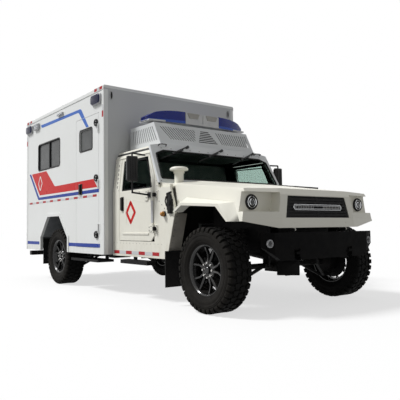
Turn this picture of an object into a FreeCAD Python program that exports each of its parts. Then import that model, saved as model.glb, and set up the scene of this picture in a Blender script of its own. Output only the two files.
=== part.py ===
"""Four-wheel-drive military ambulance truck: single cab with a tilting bonnet, and a box body.

Lengths are in millimetres. The model is drawn from a datum on the ground under the front axle,
x forwards, y to the left and z up, and every piece is moved along x when it is written, so that
the origin of the files is on the ground at the middle of the vehicle's length.
"""
import FreeCAD
import Part
import math
import os

from FreeCAD import Vector

# Overall layout
wheelbase = 3990
front_overhang = 675
rear_overhang = 1560
seat_gap = 0.3

# Wheels and tyres
tyre_radius = 460
tyre_width = 290
wheel_y = 1030
tyre_steps = 20
lug_count = 19
lug_depth = 16
lug_length = 76
sidewall_bulge = 78
rim_radius = 262
rim_lip_radius = 272
rim_width = 236
rim_lip_width = 14
rim_drop = 30
rim_steps = 32
spoke_count = 10
spoke_depth = 34
spoke_root_half = 27
spoke_tip_half = 15
wheel_face_inset = 32
wheel_hub_radius = 92
wheel_hub_depth = 120
hub_radius = 60

# Steering and suspension
kingpin_y = 845
kingpin_radius = 14
pin_clearance = 0.1
knuckle_half_height = 150
knuckle_half_width = 35
hub_housing_radius = 105
hub_housing_inner = 45
hub_housing_outer = 115
arm_thickness = 28
arm_leg_half = 16
arm_spread = 170
bush_radius = 20
bush_length = 70
lower_arm_drop = 130

# Chassis frame
rail_y = 430
rail_width = 70
rail_bottom = 610
rail_height = 140
rail_wall = 8
rail_front = 590
rail_rear_gap = 90
jaw_reach = 90
jaw_radius = 16
jaw_half_width = 45
jaw_height = 90
jaw_bottom = 455
jaw_slot = 40
liner_front = 400
liner_rear = -560
liner_y = 560
liner_wall = 6
liner_top = 1240
cross_half = 40
bracket_thickness = 22
runner_height = 90
mount_half = 30

# Driveline
engine_length = 850
engine_width = 600
engine_top = 1180
engine_front = 230
gearbox_length = 790
gearbox_half_width = 150
gearbox_bottom = 560
gearbox_top = 900
radiator_front = 380
radiator_thickness = 80
radiator_half_width = 420
radiator_top = 1215
axle_case_half = 110
axle_case_half_width = 160
axle_case_bottom = 390
prop_shaft_radius = 36
half_shaft_radius = 32
half_shaft_clearance = 96

# Cab
cab_half_width = 1080
cab_gap = 15
cab_skin = 30
sill_bottom = 540
sill_front = -820
cowl_corner_x = -640
cowl_corner_z = 1117
belt_z = 1410
belt_front = -745
roof_z = 1985
roof_half_width = 1025
gutter_z = 1890
roof_bevel = 45
footwell_front = -1000
tunnel_clearance = 30
tunnel_wall = 20
tunnel_top = 980
cowl_top_front = -800
cowl_top_z = 1475
cowl_side_gap = 12
door_gap = 6
door_rear_margin = 195
door_front = -1105
door_kink_z = 1550
door_top_lean = 0.552
door_bottom = 750
door_top = 1885
door_thickness = 40
door_skin = 5
door_corner = 70
pillar_width = 58
window_sill = 18
glass_thickness = 6
screen_base_x = -985
screen_top_x = -1262
screen_depth = 45
screen_bottom_half = 1070
screen_top_half = 1035
screen_border_side = 52
screen_border_top = 62
screen_border_bottom = 56
screen_corner_drop = 52
screen_corner_half = 850
screen_lip_top = 2030
screen_lip_half = 800
screen_lip_depth = 15
handle_length = 160
handle_height = 34
handle_proud = 22

# Cab fittings
mirror_x = -1260
mirror_y = 1297
mirror_depth = 70
mirror_width = 150
mirror_bottom = 1500
mirror_height = 315
mirror_arm_radius = 11
mirror_foot_back = 95
intake_x = -895
intake_y = -840
intake_stem_radius = 57
intake_cap_radius = 116
intake_cap_height = 50
intake_top = 1675
seat_bottom_depth = 500
seat_front = -1450
seat_half_width = 200
seat_y = 760
seat_cushion_z = 900
seat_back_z = 1560
seat_back_depth = 150
dash_depth = 230
dash_front = -1010
dash_bottom = 1120
dash_top = 1380
wheel_rim_radius = 220
wheel_rim_tube = 16
turn_lamp_x = -863
turn_lamp_z = 1083
turn_lamp_radius = 32
turn_lamp_proud = 60
latch_x = -745
latch_z = 1200
latch_height = 250
latch_width = 60
latch_proud = 42

# Bonnet
bonnet_wall = 10
bonnet_gap = 8
bonnet_rear = -790
bonnet_rear_crown_z = 1500
bonnet_rear_shoulder_z = 1450
bonnet_rear_shoulder_y = 1000
bonnet_rear_crown_y = 600
bonnet_front_crown_z = 1318
bonnet_front_shoulder_z = 1300
bonnet_front_shoulder_y = 1012
bonnet_front_crown_y = 550
bonnet_skirt_y = 1075
bonnet_skirt_front_y = 1112
bonnet_skirt_z = 850
nose_bottom_z = 899
nose_bottom_x = 628
nose_chin_z = 1000
nose_chin_x = 604
nose_lip_z = 1250
nose_lip_x = 578
nose_taper = 0.16
nose_reach = 1300
nose_centre_y = 600
nose_end_z = 975
nose_end_y = 1112
bay_back_x = 455
bay_inner_y = 625
bay_bottom_z = 1068
bay_top_z = 1272
grille_bottom_z = 1005
grille_top_z = 1240
grille_bottom_y = 534
grille_top_y = 478
grille_lap = 16
grille_depth = 12
grille_bars = 7
headlamp_y = 891
headlamp_z = 1168
headlamp_radius = 78
headlamp_depth = 24
arch_rear_low = (-545, 1094)
arch_rear_top = (-410, 1166)
arch_front_top = (200, 1129)
arch_front_low = (370, 970)
flare_y = 1160
flare_edge = 30
flare_root_y = 1045
flare_root_rise = 95
flare_root_sweep = 165
vent_front = -30
vent_rear = -640
vent_half_width = 62
vent_y = 745
vent_rise = 20
bonnet_pivot_x = 612
bonnet_pivot_z = 879
bonnet_pin_radius = 7
bonnet_ear_radius = 14
bonnet_ear_thickness = 14

# Front bumper
bumper_half_width = 911
bumper_flat_half = 770
bumper_lower_half = 673
bumper_front = 662
bumper_end_x = 622
bumper_rear = 600
bumper_bottom = 564
bumper_top = 850
bumper_wall = 10
fog_y = 820
fog_z = 742
fog_radius = 42
tow_eye_y = 438
tow_eye_z = 637
tow_eye_radius = 14
tow_eye_thickness = 26
tow_eye_plate = 44
tow_eye_half = 28

# Box body
box_front = -2200
box_length = 3220
box_half_width = 1211
box_bottom = 550
box_top = 2958
box_wall = 36
box_roof_thickness = 40
box_edge_radius = 16
roof_rail_proud = 8
roof_rail_height = 62
box_floor_top = 900
box_floor_thickness = 60
arch_trim_width = 50
arch_trim_proud = 10
wheelhouse_wall = 15
wheelhouse_inner_y = 820
box_arch_front_x = 510
box_arch_rear_x = 670
box_arch_shoulder_z = 780
box_arch_top_z = 1130
box_arch_top_front_x = 170
box_arch_top_rear_x = 340
side_window_from_rear = 607
side_window_length = 1023
side_window_drop = 512
side_window_height = 488
side_window_corner = 60
window_frame_width = 22
window_frame_proud = 5

# Side entrance door
side_door_front_margin = 165
side_door_width = 785
side_door_bottom = 640
side_door_top = 2590
side_door_gap = 5
side_door_window_front = 220
side_door_window_length = 417
side_door_window_bottom = 2098
side_door_window_height = 302
hinge_cover_radius = 45
hinge_cover_margin = 70
side_handle_z = 1512
well_depth = 395
side_door_hinge_margin = 190

# Rear doors
rear_post_width = 91
rear_sill_height = 150
rear_head_height = 108
rear_door_gap = 6
rear_window_inner = 330
rear_window_width = 500
rear_window_drop = 578
rear_window_height = 480
lock_bar_radius = 14
lock_bar_y = 90

# Roof shroud and lamps
shroud_half_width = 837
shroud_top = 2340
shroud_front_low = -1290
shroud_front_high = -1478
shroud_rear = -2112
shroud_wall = 4
slot_width = 13
slot_bottom = 2105
slot_top = 2288
diagonal_count = 15
diagonal_pitch = 42
diagonal_first = -760
diagonal_run = 118
diagonal_end_high = -165
diagonal_end_low = -231
fan_count = 14
fan_first_high = 204
fan_first_low = 252
fan_last_high = 775
fan_last_low = 757
side_slot_front_low = -1404
side_slot_front_high = -1519
side_slot_rear_low = -2055
side_slot_rear_high = -2065
side_slot_count = 13
flat_slot_count = 7
flat_slot_pitch = 28
flat_slot_half_low = 170
flat_slot_half_high = 75
bar_x = -1610
bar_length = 250
bar_half_width = 862
bar_centre_half = 300
bar_bottom = 2376
bar_tray = 22
bar_top = 2545
bar_foot_half = 40
bar_foot_y = 600
bar_sweep = 110
bar_dome = 26
bar_end_slope = 70
beacon_from_front = 220
beacon_from_rear = 185
beacon_length = 265
beacon_height = 130
beacon_drop = 173
beacon_border = 14
beacon_bevel = 30
beacon_housing_proud = 26
beacon_lens_proud = 46
flood_length = 230
flood_height = 120
flood_proud = 46
flood_from_rear = 570
marker_length = 230
marker_height = 42
marker_proud = 40
marker_from_front = 1560
marker_drop = 140
rear_lamp_width = 70
rear_lamp_height = 330
rear_lamp_bottom = 1060
rear_lamp_proud = 22

# Steps, flaps and tank
rear_step_depth = 110
rear_step_half = 1100
rear_step_bottom = 430
rear_step_height = 80
entry_step_bottom = 430
entry_step_thickness = 36
entry_step_length = 940
entry_step_inner = 930
entry_step_outer = 1190
cab_step_rear = -1820
cab_step_length = 680
cab_step_inner = 1040
cab_step_outer = 1165
cab_step_bottom = 452
cab_step_height = 50
flap_inner = 880
flap_outer = 1150
flap_thickness = 12
flap_bottom = 215
flap_x = -760
rear_flap_bottom = 300
tank_length = 880
tank_width = 460
tank_bottom = 410

# Wipers
wiper_pivots = (-445, 155, 755)
wiper_reach = 520
wiper_drop = 200
wiper_half = 5
wiper_rise = 20
wiper_pivot_drop = 20
wiper_pivot_radius = 13

# Values worked out from those above
rear_axle_x = -wheelbase
axle_z = tyre_radius
length = front_overhang + wheelbase + rear_overhang
datum_to_origin = length / 2 - front_overhang
rail_top = rail_bottom + rail_height
rail_inner = rail_y - rail_width / 2
rail_outer = rail_y + rail_width / 2
floor_bottom = rail_top + runner_height
box_rear = box_front - box_length
wall_inner_y = box_half_width - box_wall
wall_top = box_top - box_roof_thickness
rail_rear = box_rear + rail_rear_gap
cab_rear = box_front + cab_gap
door_rear = cab_rear + door_rear_margin
screen_lean = (screen_top_x - screen_base_x) / (roof_z - cowl_top_z)
side_door_front = box_front - side_door_front_margin
side_door_rear = side_door_front - side_door_width
spindle_end = wheel_y + rim_width / 2 - wheel_face_inset - spoke_depth + 3
engine_rear = engine_front - engine_length
gearbox_rear = engine_rear - gearbox_length

parts = {}

# Small overlaps of cutting tools, and how far they run past the object
over = 5
overrun = 50
reach_x = 1500
reach_y = 1400
reach_low = 700
reach_high = 1700

# Edges and laps inside the larger forms
tread_share = 0.92
lug_start_share = 0.12
lug_end_share = 0.88
lug_stagger = 0.25
bead_drop = 9
rim_well_rear = 40
rim_well_front = 56
rim_step = 30
rim_step_drop = 16
upright_half = 55
steering_arm_reach = 190
steering_arm_root = 40
steering_arm_inner = 60
steering_arm_outer = 25
steering_arm_half = 20
arm_tip_half = 52
arm_eye_radius = 45
arm_leg_foot = 34
cross_end = 60
cross_box = 100
cross_middle_x = 3150
cross_overhang = 660
cross_inset = 20
engine_mount_half = 250
engine_lift = 10
bracket_half = 45
cab_mount_front = 230
cab_mount_rear = 90
cab_mount_low = 30
cab_mount_high = 110
outrigger_reach = 1000
jaw_reach_share = 2.2
hanger_length = 40
hanger_drop = 40
post_clearance = 7
post_rear = 550
post_shoulder_x = 585
post_top = bonnet_pivot_z + 10
post_inner = 10
post_outer = 4
ear_start = 6
pinion_rise = 50
shaft_lap = 10
shaft_rise = 30
bevel_share = 0.4
cowl_wall = 10
toe_lap = 40
toe_wall = 15
toe_corner_z = 640
cowl_lap = 30
cowl_drop = 35
cowl_depth = 100
screen_post = 90
screen_over = 20
screen_seat = 16
screen_glass = glass_thickness * 1.5
door_frame = 35
head_width = pillar_width * 0.7
front_pillar = pillar_width * 0.8
door_glass_inset = 15
rib_rear = 90
rib_front = 120
rib_proud = 8
rib_low = 80
rib_high = 105
handle_inset = 60
handle_low = 1168
cover_rear = 46
cover_front = 14
cover_proud = 10
cover_low = 960
cover_high = 1270
hinge_plate_share = 0.4
hinge_lug_share = 0.22
cab_hinge_heights = (905, 1326)
cab_hinge_standoff = 16
cab_hinge_height = 70
hinge_leaf = 60
mirror_corner = 22
mirror_edge = 10
mirror_foot_half = 35
mirror_foot_proud = 14
mirror_foot_z = 1331
mirror_arm_low = 1330
mirror_arm_lap = 20
mirror_arm_rise = 40
mirror_stay_back = 120
mirror_stay_lap = 12
nose_lip_back = 40
nose_cut_back = 140
nose_tuck = 20
bay_flank = 45
chin_rise = 40
chin_run = 60
flare_foot_drop = 6
flare_corner = 20
flare_nose = 40
flare_band = 27
vent_sink = 47
vent_crown = 6
vent_run_out = 120
side_hinge_standoff = 12
side_hinge_leaf = 40
ear_width = 26
ear_height = 60
grille_top_lap = 6.4
slot_start_share = 0.3
slot_margin = 45
grille_post = 14
bumper_end_low = 735
bumper_end_high = 705
window_low_share = 0.53
window_divider_half = 14
box_outrigger_gap = 4
box_outrigger_door = 100
box_outrigger_arch = 40
box_outrigger_rear = 170
trim_inset_share = 0.3
side_hinge_offset = 90
side_hinge_height = 90
side_handle_back = 140
rear_hinge_inset = 250
rear_hinge_height = 110
rear_hinge_standoff = 14
lock_bar_inset = 60
lock_lever_length = 190
lock_lever_z = 640
lock_lever_height = 36
seat_back_lean = 40
column_rise = 80
column_reach = 170
column_offset = 40
column_radius = 26
wheel_tilt = 24
step_stay_half = 20
step_stay_inset = 120
step_stay_near = 20
step_stay_far = 60
rear_step_gap = 150
rear_step_reach = 30
rear_stay_width = 200
flap_rise = 100
flap_fold = 40
tank_gap = 60
tank_stand = 55
tank_edge = 40


def block(x0, x1, y0, y1, z0, z1):
    """Rectangular block between two corners."""
    return Part.makeBox(abs(x1 - x0), abs(y1 - y0), abs(z1 - z0),
                        Vector(min(x0, x1), min(y0, y1), min(z0, z1)))


def facet(points):
    """Flat face through points given in order."""
    return Part.Face(Part.makePolygon(points + points[:1]))


def side_prism(points, y0, y1):
    """Outline in x and z, extruded across the vehicle from y0 to y1."""
    return facet([Vector(x, y0, z) for x, z in points]).extrude(Vector(0, y1 - y0, 0))


def plan_prism(points, z0, z1):
    """Outline in x and y, extruded upwards from z0 to z1."""
    return facet([Vector(x, y, z0) for x, y in points]).extrude(Vector(0, 0, z1 - z0))


def cross_prism(points, x0, x1):
    """Outline in y and z, extruded along the vehicle from x0 to x1."""
    return facet([Vector(x0, y, z) for y, z in points]).extrude(Vector(x1 - x0, 0, 0))


def leaning_prism(points, x_at, depth):
    """Outline in y and z on a plane that leans with x_at(z), extruded forwards by depth."""
    return facet([Vector(x_at(z), y, z) for y, z in points]).extrude(Vector(depth, 0, 0))


def loft(outlines):
    """Ruled solid through closed outlines given as lists of points."""
    return Part.makeLoft([Part.makePolygon(o + o[:1]) for o in outlines], True, True)


def rod(start, end, radius):
    """Round bar from start to end."""
    start = Vector(*start)
    along = Vector(*end) - start
    return Part.makeCylinder(radius, along.Length, start, along)


def bar(start, end, half):
    """Square bar from start to end, with its section upright."""
    start = Vector(*start)
    along = Vector(*end) - start
    across = along.cross(Vector(0, 0, 1))
    if across.Length < 1:
        across = Vector(1, 0, 0)
    across = across.normalize() * half
    up = across.cross(along).normalize() * half
    corners = [start + across + up, start - across + up, start - across - up, start + across - up]
    return facet(corners).extrude(along)


def fuse(shapes):
    """One shape from several that meet or overlap."""
    return shapes[0].multiFuse(shapes[1:]).removeSplitter()


def cut(shape, tools):
    """Shape with each tool taken away."""
    for tool in tools:
        shape = shape.cut(tool)
    return shape


def flip(shape):
    """The same shape on the other side of the vehicle."""
    return shape.mirror(Vector(0, 0, 0), Vector(0, 1, 0))


def moved(shape, x, y, z):
    """A copy of the shape, moved."""
    copy = shape.copy()
    copy.translate(Vector(x, y, z))
    return copy


def both(shapes):
    """All solids of the shapes and of their mirror images, kept apart."""
    solids = [solid for shape in shapes for solid in shape.Solids]
    return Part.makeCompound(solids + [flip(solid) for solid in solids])


def rounded_plate(x0, x1, z0, z1, y0, y1, radius):
    """Upright plate in the x-z plane with four rounded corners."""
    plate = block(x0, x1, y0, y1, z0, z1)
    edges = [e for e in plate.Edges if abs(e.Vertexes[0].Y - e.Vertexes[1].Y) > 1]
    return plate.makeFillet(radius, edges)


def keep(name, shape):
    """Store a finished piece under its node name."""
    parts[name] = shape


def faceted_ring(profile, steps):
    """Closed ring about the y axis from a profile of (across, radius) points, in flat facets."""
    angle = 2 * math.pi / steps

    def corner(point, index):
        across, radius = point
        return Vector(radius * math.sin(angle * index), across, -radius * math.cos(angle * index))

    faces = []
    for index in range(steps):
        for a, b in zip(profile, profile[1:] + profile[:1]):
            faces.append(facet([corner(a, index), corner(b, index),
                                corner(b, index + 1), corner(a, index + 1)]))
    ring = Part.Solid(Part.Shell(faces))
    if ring.Volume < 0:
        ring.reverse()
    return ring


def round_pattern(shape, count, offset=0.0):
    """Copies of the shape at equal angles about the y axis."""
    copies = []
    for index in range(count):
        turned = shape.copy()
        turned.rotate(Vector(0, 0, 0), Vector(0, 1, 0), 360 / count * (index + offset))
        copies.append(turned)
    return copies


def make_tyre():
    """Tyre about the y axis, with a row of shoulder lugs on each side."""
    half = tyre_width / 2
    tread = tyre_radius - lug_depth
    bead = rim_width / 2 - rim_lip_width - seat_gap
    bore = (rim_radius + seat_gap) / math.cos(math.pi / tyre_steps)
    profile = [(-bead, bore), (-bead, rim_lip_radius + lug_depth / 2),
               (-half, rim_radius + sidewall_bulge), (-half * tread_share, tread)]
    profile += [(-across, radius) for across, radius in reversed(profile)]
    carcass = faceted_ring(profile, tyre_steps)
    tip = math.sqrt(tyre_radius ** 2 - (lug_length / 2) ** 2)
    outline = [(half * lug_start_share, tread - lug_depth), (half * lug_start_share, tip),
               (half * lug_end_share, tip),
               (half, tip - lug_depth * 1.5), (half, tip - lug_depth * 4)]
    lugs = []
    for side in (-1, 1):
        lug = facet([Vector(-lug_length / 2, side * across, -radius) for across, radius in outline])
        lugs += round_pattern(lug.extrude(Vector(lug_length, 0, 0)), lug_count, side * lug_stagger)
    return carcass.multiFuse(lugs)


def make_rim():
    """Spoked rim about the y axis, with its face towards +y."""
    half = rim_width / 2
    inside = rim_radius - rim_drop
    profile = [(-half, rim_lip_radius), (-half, rim_radius - bead_drop), (-half + rim_well_rear, inside),
               (half - rim_well_front, inside),
               (half - rim_step, rim_radius - rim_step_drop), (half, rim_radius - bead_drop / 2),
               (half, rim_lip_radius),
               (half - rim_lip_width, rim_lip_radius), (half - rim_lip_width, rim_radius),
               (-half + rim_lip_width, rim_radius), (-half + rim_lip_width, rim_lip_radius)]
    barrel = faceted_ring(profile, rim_steps)
    face = half - wheel_face_inset
    hub = rod((0, face - wheel_hub_depth, 0), (0, face, 0), wheel_hub_radius)
    tip_radius = rim_radius - rim_drop / 2 - 2
    spoke = loft([[Vector(hub_radius, face - spoke_depth, -spoke_root_half),
                   Vector(hub_radius, face, -spoke_root_half),
                   Vector(hub_radius, face, spoke_root_half),
                   Vector(hub_radius, face - spoke_depth, spoke_root_half)],
                  [Vector(tip_radius, face - spoke_depth, -spoke_tip_half),
                   Vector(tip_radius, face, -spoke_tip_half),
                   Vector(tip_radius, face, spoke_tip_half),
                   Vector(tip_radius, face - spoke_depth, spoke_tip_half)]])
    rim = fuse([barrel, hub] + round_pattern(spoke, spoke_count))
    bore = rod((0, face - wheel_hub_depth - 1, 0), (0, spindle_end - wheel_y + seat_gap, 0),
               hub_radius + pin_clearance)
    return rim.cut(bore)


def make_wheels():
    """Four wheels, each a rim and a tyre."""
    tyre = make_tyre()
    rim = make_rim()
    for label, x in (("front", 0), ("rear", rear_axle_x)):
        for hand, side in (("right", -1), ("left", 1)):
            hand_rim = rim if side > 0 else flip(rim)
            hand_tyre = tyre if side > 0 else flip(tyre)
            keep("rim_%s_%s" % (label, hand), moved(hand_rim, x, side * wheel_y, axle_z))
            keep("tyre_%s_%s" % (label, hand), moved(hand_tyre, x, side * wheel_y, axle_z))


def hub_carrier():
    """Upright with a round hub housing and the spindle that the wheel turns on."""
    upright = block(-upright_half, upright_half, kingpin_y - knuckle_half_width,
                    kingpin_y + knuckle_half_width,
                    axle_z - knuckle_half_height, axle_z + knuckle_half_height)
    housing = rod((0, kingpin_y - hub_housing_inner, axle_z), (0, kingpin_y + hub_housing_outer, axle_z),
                  hub_housing_radius)
    spindle = rod((0, kingpin_y, axle_z), (0, spindle_end, axle_z), hub_radius)
    return fuse([upright, housing, spindle])


def make_knuckles():
    """Steering knuckles with kingpin stubs and steering arms."""
    past = knuckle_half_height + arm_thickness - 4
    pins = rod((0, kingpin_y, axle_z - past), (0, kingpin_y, axle_z + past), kingpin_radius)
    steering_arm = block(-steering_arm_reach, -steering_arm_root, kingpin_y - steering_arm_inner,
                         kingpin_y - steering_arm_outer, axle_z - steering_arm_half,
                         axle_z + steering_arm_half)
    knuckle = fuse([hub_carrier(), pins, steering_arm])
    keep("knuckle_left", knuckle)
    keep("knuckle_right", flip(knuckle))


def wishbone(y_in, z_in, z_out, pinned):
    """One wishbone, from two bushes on the frame to a flat tip at the kingpin."""
    tip_y = kingpin_y - hub_housing_radius - 5
    middle = z_out + arm_thickness / 2
    pieces = [plan_prism([(-arm_tip_half, tip_y), (-arm_eye_radius, kingpin_y), (arm_eye_radius, kingpin_y),
                          (arm_tip_half, tip_y)],
                         z_out, z_out + arm_thickness),
              rod((0, kingpin_y, z_out), (0, kingpin_y, z_out + arm_thickness), arm_eye_radius)]
    for side in (-1, 1):
        x = side * arm_spread
        bush_y = y_in + bush_radius
        pieces.append(block(x - bush_length / 2, x + bush_length / 2, y_in, y_in + bush_radius * 2,
                            z_in - bush_radius, z_in + bush_radius))
        pieces.append(bar((x, bush_y, z_in), (side * arm_leg_foot, tip_y + over, middle), arm_leg_half))
    arm = fuse(pieces)
    if pinned:
        arm = arm.cut(rod((0, kingpin_y, z_out - over), (0, kingpin_y, z_out + arm_thickness + over),
                          kingpin_radius + pin_clearance))
    return arm


def make_suspension():
    """Wishbones, and the rear hub carriers, which don't steer."""
    lower_out = axle_z - knuckle_half_height - arm_thickness - seat_gap
    upper_out = axle_z + knuckle_half_height + seat_gap
    solids = []
    for axle, steered in ((0, True), (rear_axle_x, False)):
        lower = wishbone(rail_inner + bracket_thickness, rail_bottom - lower_arm_drop, lower_out, steered)
        upper = wishbone(rail_outer, rail_bottom + bush_radius * 2, upper_out, steered)
        pieces = [lower, upper] if steered else [lower, upper, hub_carrier()]
        solids += [moved(piece, axle, 0, 0) for piece in pieces]
    keep("suspension", both(solids))


def make_frame():
    """Ladder frame of channel rails, with crossmembers, brackets and mounts."""
    rail = block(rail_rear, rail_front, rail_inner, rail_outer, rail_bottom, rail_top)
    channel = block(rail_rear - 1, rail_front + 1, rail_inner - 1, rail_outer - rail_wall,
                    rail_bottom + rail_wall, rail_top - rail_wall)
    rail = rail.cut(channel)
    pieces = [rail, flip(rail)]
    cross_x = [rail_front - cross_end, engine_rear + cross_end, gearbox_rear - cross_half,
               box_front - cross_box, -cross_middle_x,
               rear_axle_x - cross_overhang, rail_rear + cross_end]
    web_y = rail_outer - rail_wall
    for x in cross_x:
        pieces.append(block(x - cross_half, x + cross_half, -web_y, web_y, rail_bottom + cross_inset,
                            rail_top - cross_inset))
    pieces.append(block(engine_rear + cross_inset, engine_rear + cross_box, -engine_mount_half,
                        engine_mount_half, rail_top - cross_inset, rail_top + engine_lift))
    for axle in (0, rear_axle_x):
        pieces.append(block(axle - cross_end, axle + cross_end, -web_y, web_y, rail_bottom,
                            rail_bottom + cross_end))
        for side in (-1, 1):
            x = axle + side * arm_spread
            ear = block(x - bracket_half, x + bracket_half, rail_inner, rail_inner + bracket_thickness,
                        rail_bottom - lower_arm_drop - bush_radius, rail_bottom + rail_wall)
            pieces += [ear, flip(ear)]
    for x in (sill_front - cab_mount_front, cab_rear + cab_mount_rear):
        mount = block(x - mount_half, x + mount_half, rail_outer - rail_wall,
                      rail_outer + tunnel_clearance, rail_bottom + cab_mount_low,
                      rail_bottom + cab_mount_high)
        pieces += [mount, flip(mount)]
    for x in outrigger_x():
        outrigger = block(x - mount_half, x + mount_half, rail_outer - rail_wall, outrigger_reach,
                          rail_bottom + cross_end, rail_top)
        pieces += [outrigger, flip(outrigger)]
    for y in (-rail_y, rail_y):
        pieces += bonnet_post(y)
    liner = fuse([block(liner_rear, liner_front, liner_y, liner_y + liner_wall, rail_top, liner_top),
                  block(liner_rear, liner_front, rail_outer - rail_wall, liner_y + liner_wall, rail_top - 1,
                        rail_top + liner_wall)])
    pieces += [liner, flip(liner)]
    keep("frame", fuse(pieces + [tow_jaw()]))


def tow_jaw():
    """Rear towing jaw below the box, with a slot for the eye and a bore for its pin."""
    end = box_rear - jaw_reach
    pin_x = end + jaw_radius * jaw_reach_share
    beam = block(end, rail_rear, -jaw_half_width, jaw_half_width, jaw_bottom, jaw_bottom + jaw_height)
    hanger = block(rail_rear, rail_rear + hanger_length, -jaw_half_width, jaw_half_width, jaw_bottom,
                   rail_top - hanger_drop)
    middle = jaw_bottom + jaw_height / 2
    slot = block(end - 1, pin_x + jaw_radius * 2, -jaw_half_width - 1, jaw_half_width + 1,
                 middle - jaw_slot / 2,
                 middle + jaw_slot / 2)
    bore = rod((pin_x, 0, jaw_bottom - 1), (pin_x, 0, jaw_bottom + jaw_height + 1), jaw_radius)
    return cut(fuse([beam, hanger]), [slot, bore])


def bonnet_post(y):
    """Post on a rail end with the pin that the bonnet turns on."""
    low = bumper_top + post_clearance
    post = side_prism([(post_rear, rail_top - over), (rail_front, rail_top - over), (rail_front, low),
                       (bonnet_pivot_x, low),
                       (bonnet_pivot_x, post_top), (post_shoulder_x, post_top), (post_rear, bumper_top)],
                      y - post_inner, y + post_outer)
    boss = rod((bonnet_pivot_x, y - post_inner, bonnet_pivot_z),
               (bonnet_pivot_x, y + post_outer, bonnet_pivot_z), bonnet_ear_radius)
    pin = rod((bonnet_pivot_x, y - post_inner, bonnet_pivot_z),
              (bonnet_pivot_x, y + ear_start + bonnet_ear_thickness + post_outer, bonnet_pivot_z),
              bonnet_pin_radius)
    return [post, boss, pin]


def make_driveline():
    """Engine as a plain block, gearbox, axle cases, shafts and the radiator."""
    engine = block(engine_rear, engine_front, -engine_width / 2, engine_width / 2, rail_top + engine_lift,
                   engine_top)
    gearbox = block(gearbox_rear, engine_rear, -gearbox_half_width, gearbox_half_width, gearbox_bottom,
                    gearbox_top)
    pieces = [engine, gearbox]
    shaft_z = axle_z + pinion_rise
    for axle in (0, rear_axle_x):
        pieces.append(block(axle - axle_case_half, axle + axle_case_half, -axle_case_half_width,
                            axle_case_half_width, axle_case_bottom, rail_bottom))
        end = kingpin_y - half_shaft_clearance
        half_shaft = rod((axle, axle_case_half_width - shaft_lap, axle_z), (axle, end, axle_z),
                         half_shaft_radius)
        pieces += [half_shaft, flip(half_shaft)]
    pieces.append(rod((gearbox_rear + shaft_lap, 0, gearbox_bottom + shaft_rise), (rear_axle_x, 0, shaft_z),
                      prop_shaft_radius))
    pieces.append(rod((engine_rear - shaft_lap * 2, 0, gearbox_bottom + shaft_rise), (0, 0, shaft_z),
                      prop_shaft_radius))
    radiator = block(radiator_front - radiator_thickness, radiator_front, -radiator_half_width,
                     radiator_half_width, rail_top, radiator_top)
    keep("driveline", Part.makeCompound(fuse(pieces).Solids + [radiator]))


def screen_x(z):
    """Where the windscreen's outer plane lies at height z."""
    return screen_base_x + (z - cowl_top_z) * screen_lean


def cab_section(margin, low, high):
    """Cab outline in y and z above the belt, drawn in from the outside by margin."""
    return [(cab_half_width - margin, low), (roof_half_width - margin, gutter_z),
            (roof_half_width - roof_bevel - margin * bevel_share, high),
            (-roof_half_width + roof_bevel + margin * bevel_share, high),
            (-roof_half_width + margin, gutter_z), (-cab_half_width + margin, low)]


def door_opening(low, high):
    """Block through both cab sides where the doors go, with their gap, between two heights."""
    front = [(door_slope_x(z) + door_gap * 1.5, z) for z in (high, min(max(low, door_kink_z), high), low)]
    return side_prism([(door_rear - door_gap, low),
                       (door_rear - door_gap, high)] + front[:1 if high < door_kink_z else 2]
                      + front[2:], -cab_half_width - overrun, cab_half_width + overrun)


def door_slope_x(z):
    """Front edge of the cab door at height z: upright below the kink, leaning above it."""
    return door_front - max(0, z - door_kink_z) * door_top_lean


def make_cab_tub():
    """Cab below the belt: floor, sides, tunnel, footwell and the cowl under the windscreen."""
    outline = [(cab_rear, sill_bottom), (sill_front, sill_bottom), (cowl_corner_x, cowl_corner_z),
               (belt_front, belt_z), (cab_rear, belt_z)]
    outer = side_prism(outline, -cab_half_width, cab_half_width)
    toe = sill_front - cab_skin * 1.5
    inner = side_prism([(cab_rear + cab_skin, sill_bottom + cab_skin), (toe, sill_bottom + cab_skin),
                        (footwell_front, gearbox_top), (footwell_front, belt_z + 1),
                        (cab_rear + cab_skin, belt_z + 1)],
                       -cab_half_width + cab_skin, cab_half_width - cab_skin)
    tub = outer.cut(inner)
    tunnel_half = rail_outer + tunnel_clearance
    shell = block(cab_rear, footwell_front + over * 2, -tunnel_half - tunnel_wall,
                  tunnel_half + tunnel_wall,
                  sill_bottom, tunnel_top)
    tunnel = block(cab_rear - 1, cowl_corner_x + 1, -tunnel_half, tunnel_half, sill_bottom - 1,
                   tunnel_top - tunnel_wall)
    nose = side_prism([(cowl_corner_x - overrun, reach_low), (cowl_corner_x + overrun, cowl_corner_z),
                       (-reach_low, belt_z - cowl_wall),
                       (footwell_front + toe_lap, belt_z - cowl_wall),
                       (footwell_front + toe_lap, gearbox_top), (toe - toe_wall, toe_corner_z)],
                      -cab_half_width + cab_skin, cab_half_width - cab_skin)
    doorway = door_opening(door_bottom - door_gap, belt_z + cowl_wall).cut(
        block(cab_rear, 0, -cab_half_width + cab_skin + 1, cab_half_width - cab_skin - 1, 0, roof_z))
    tub = cut(fuse([tub, shell]), [tunnel, nose, doorway])
    cowl = side_prism([(cowl_top_front, belt_z - cowl_lap), (cowl_top_front, cowl_top_z - cowl_drop),
                       (screen_base_x, cowl_top_z),
                       (screen_base_x - screen_depth, cowl_top_z), (screen_base_x - screen_depth, belt_z)],
                      -cab_half_width + cab_skin + cowl_side_gap, cab_half_width - cab_skin - cowl_side_gap)
    return fuse([tub, cowl])


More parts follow.
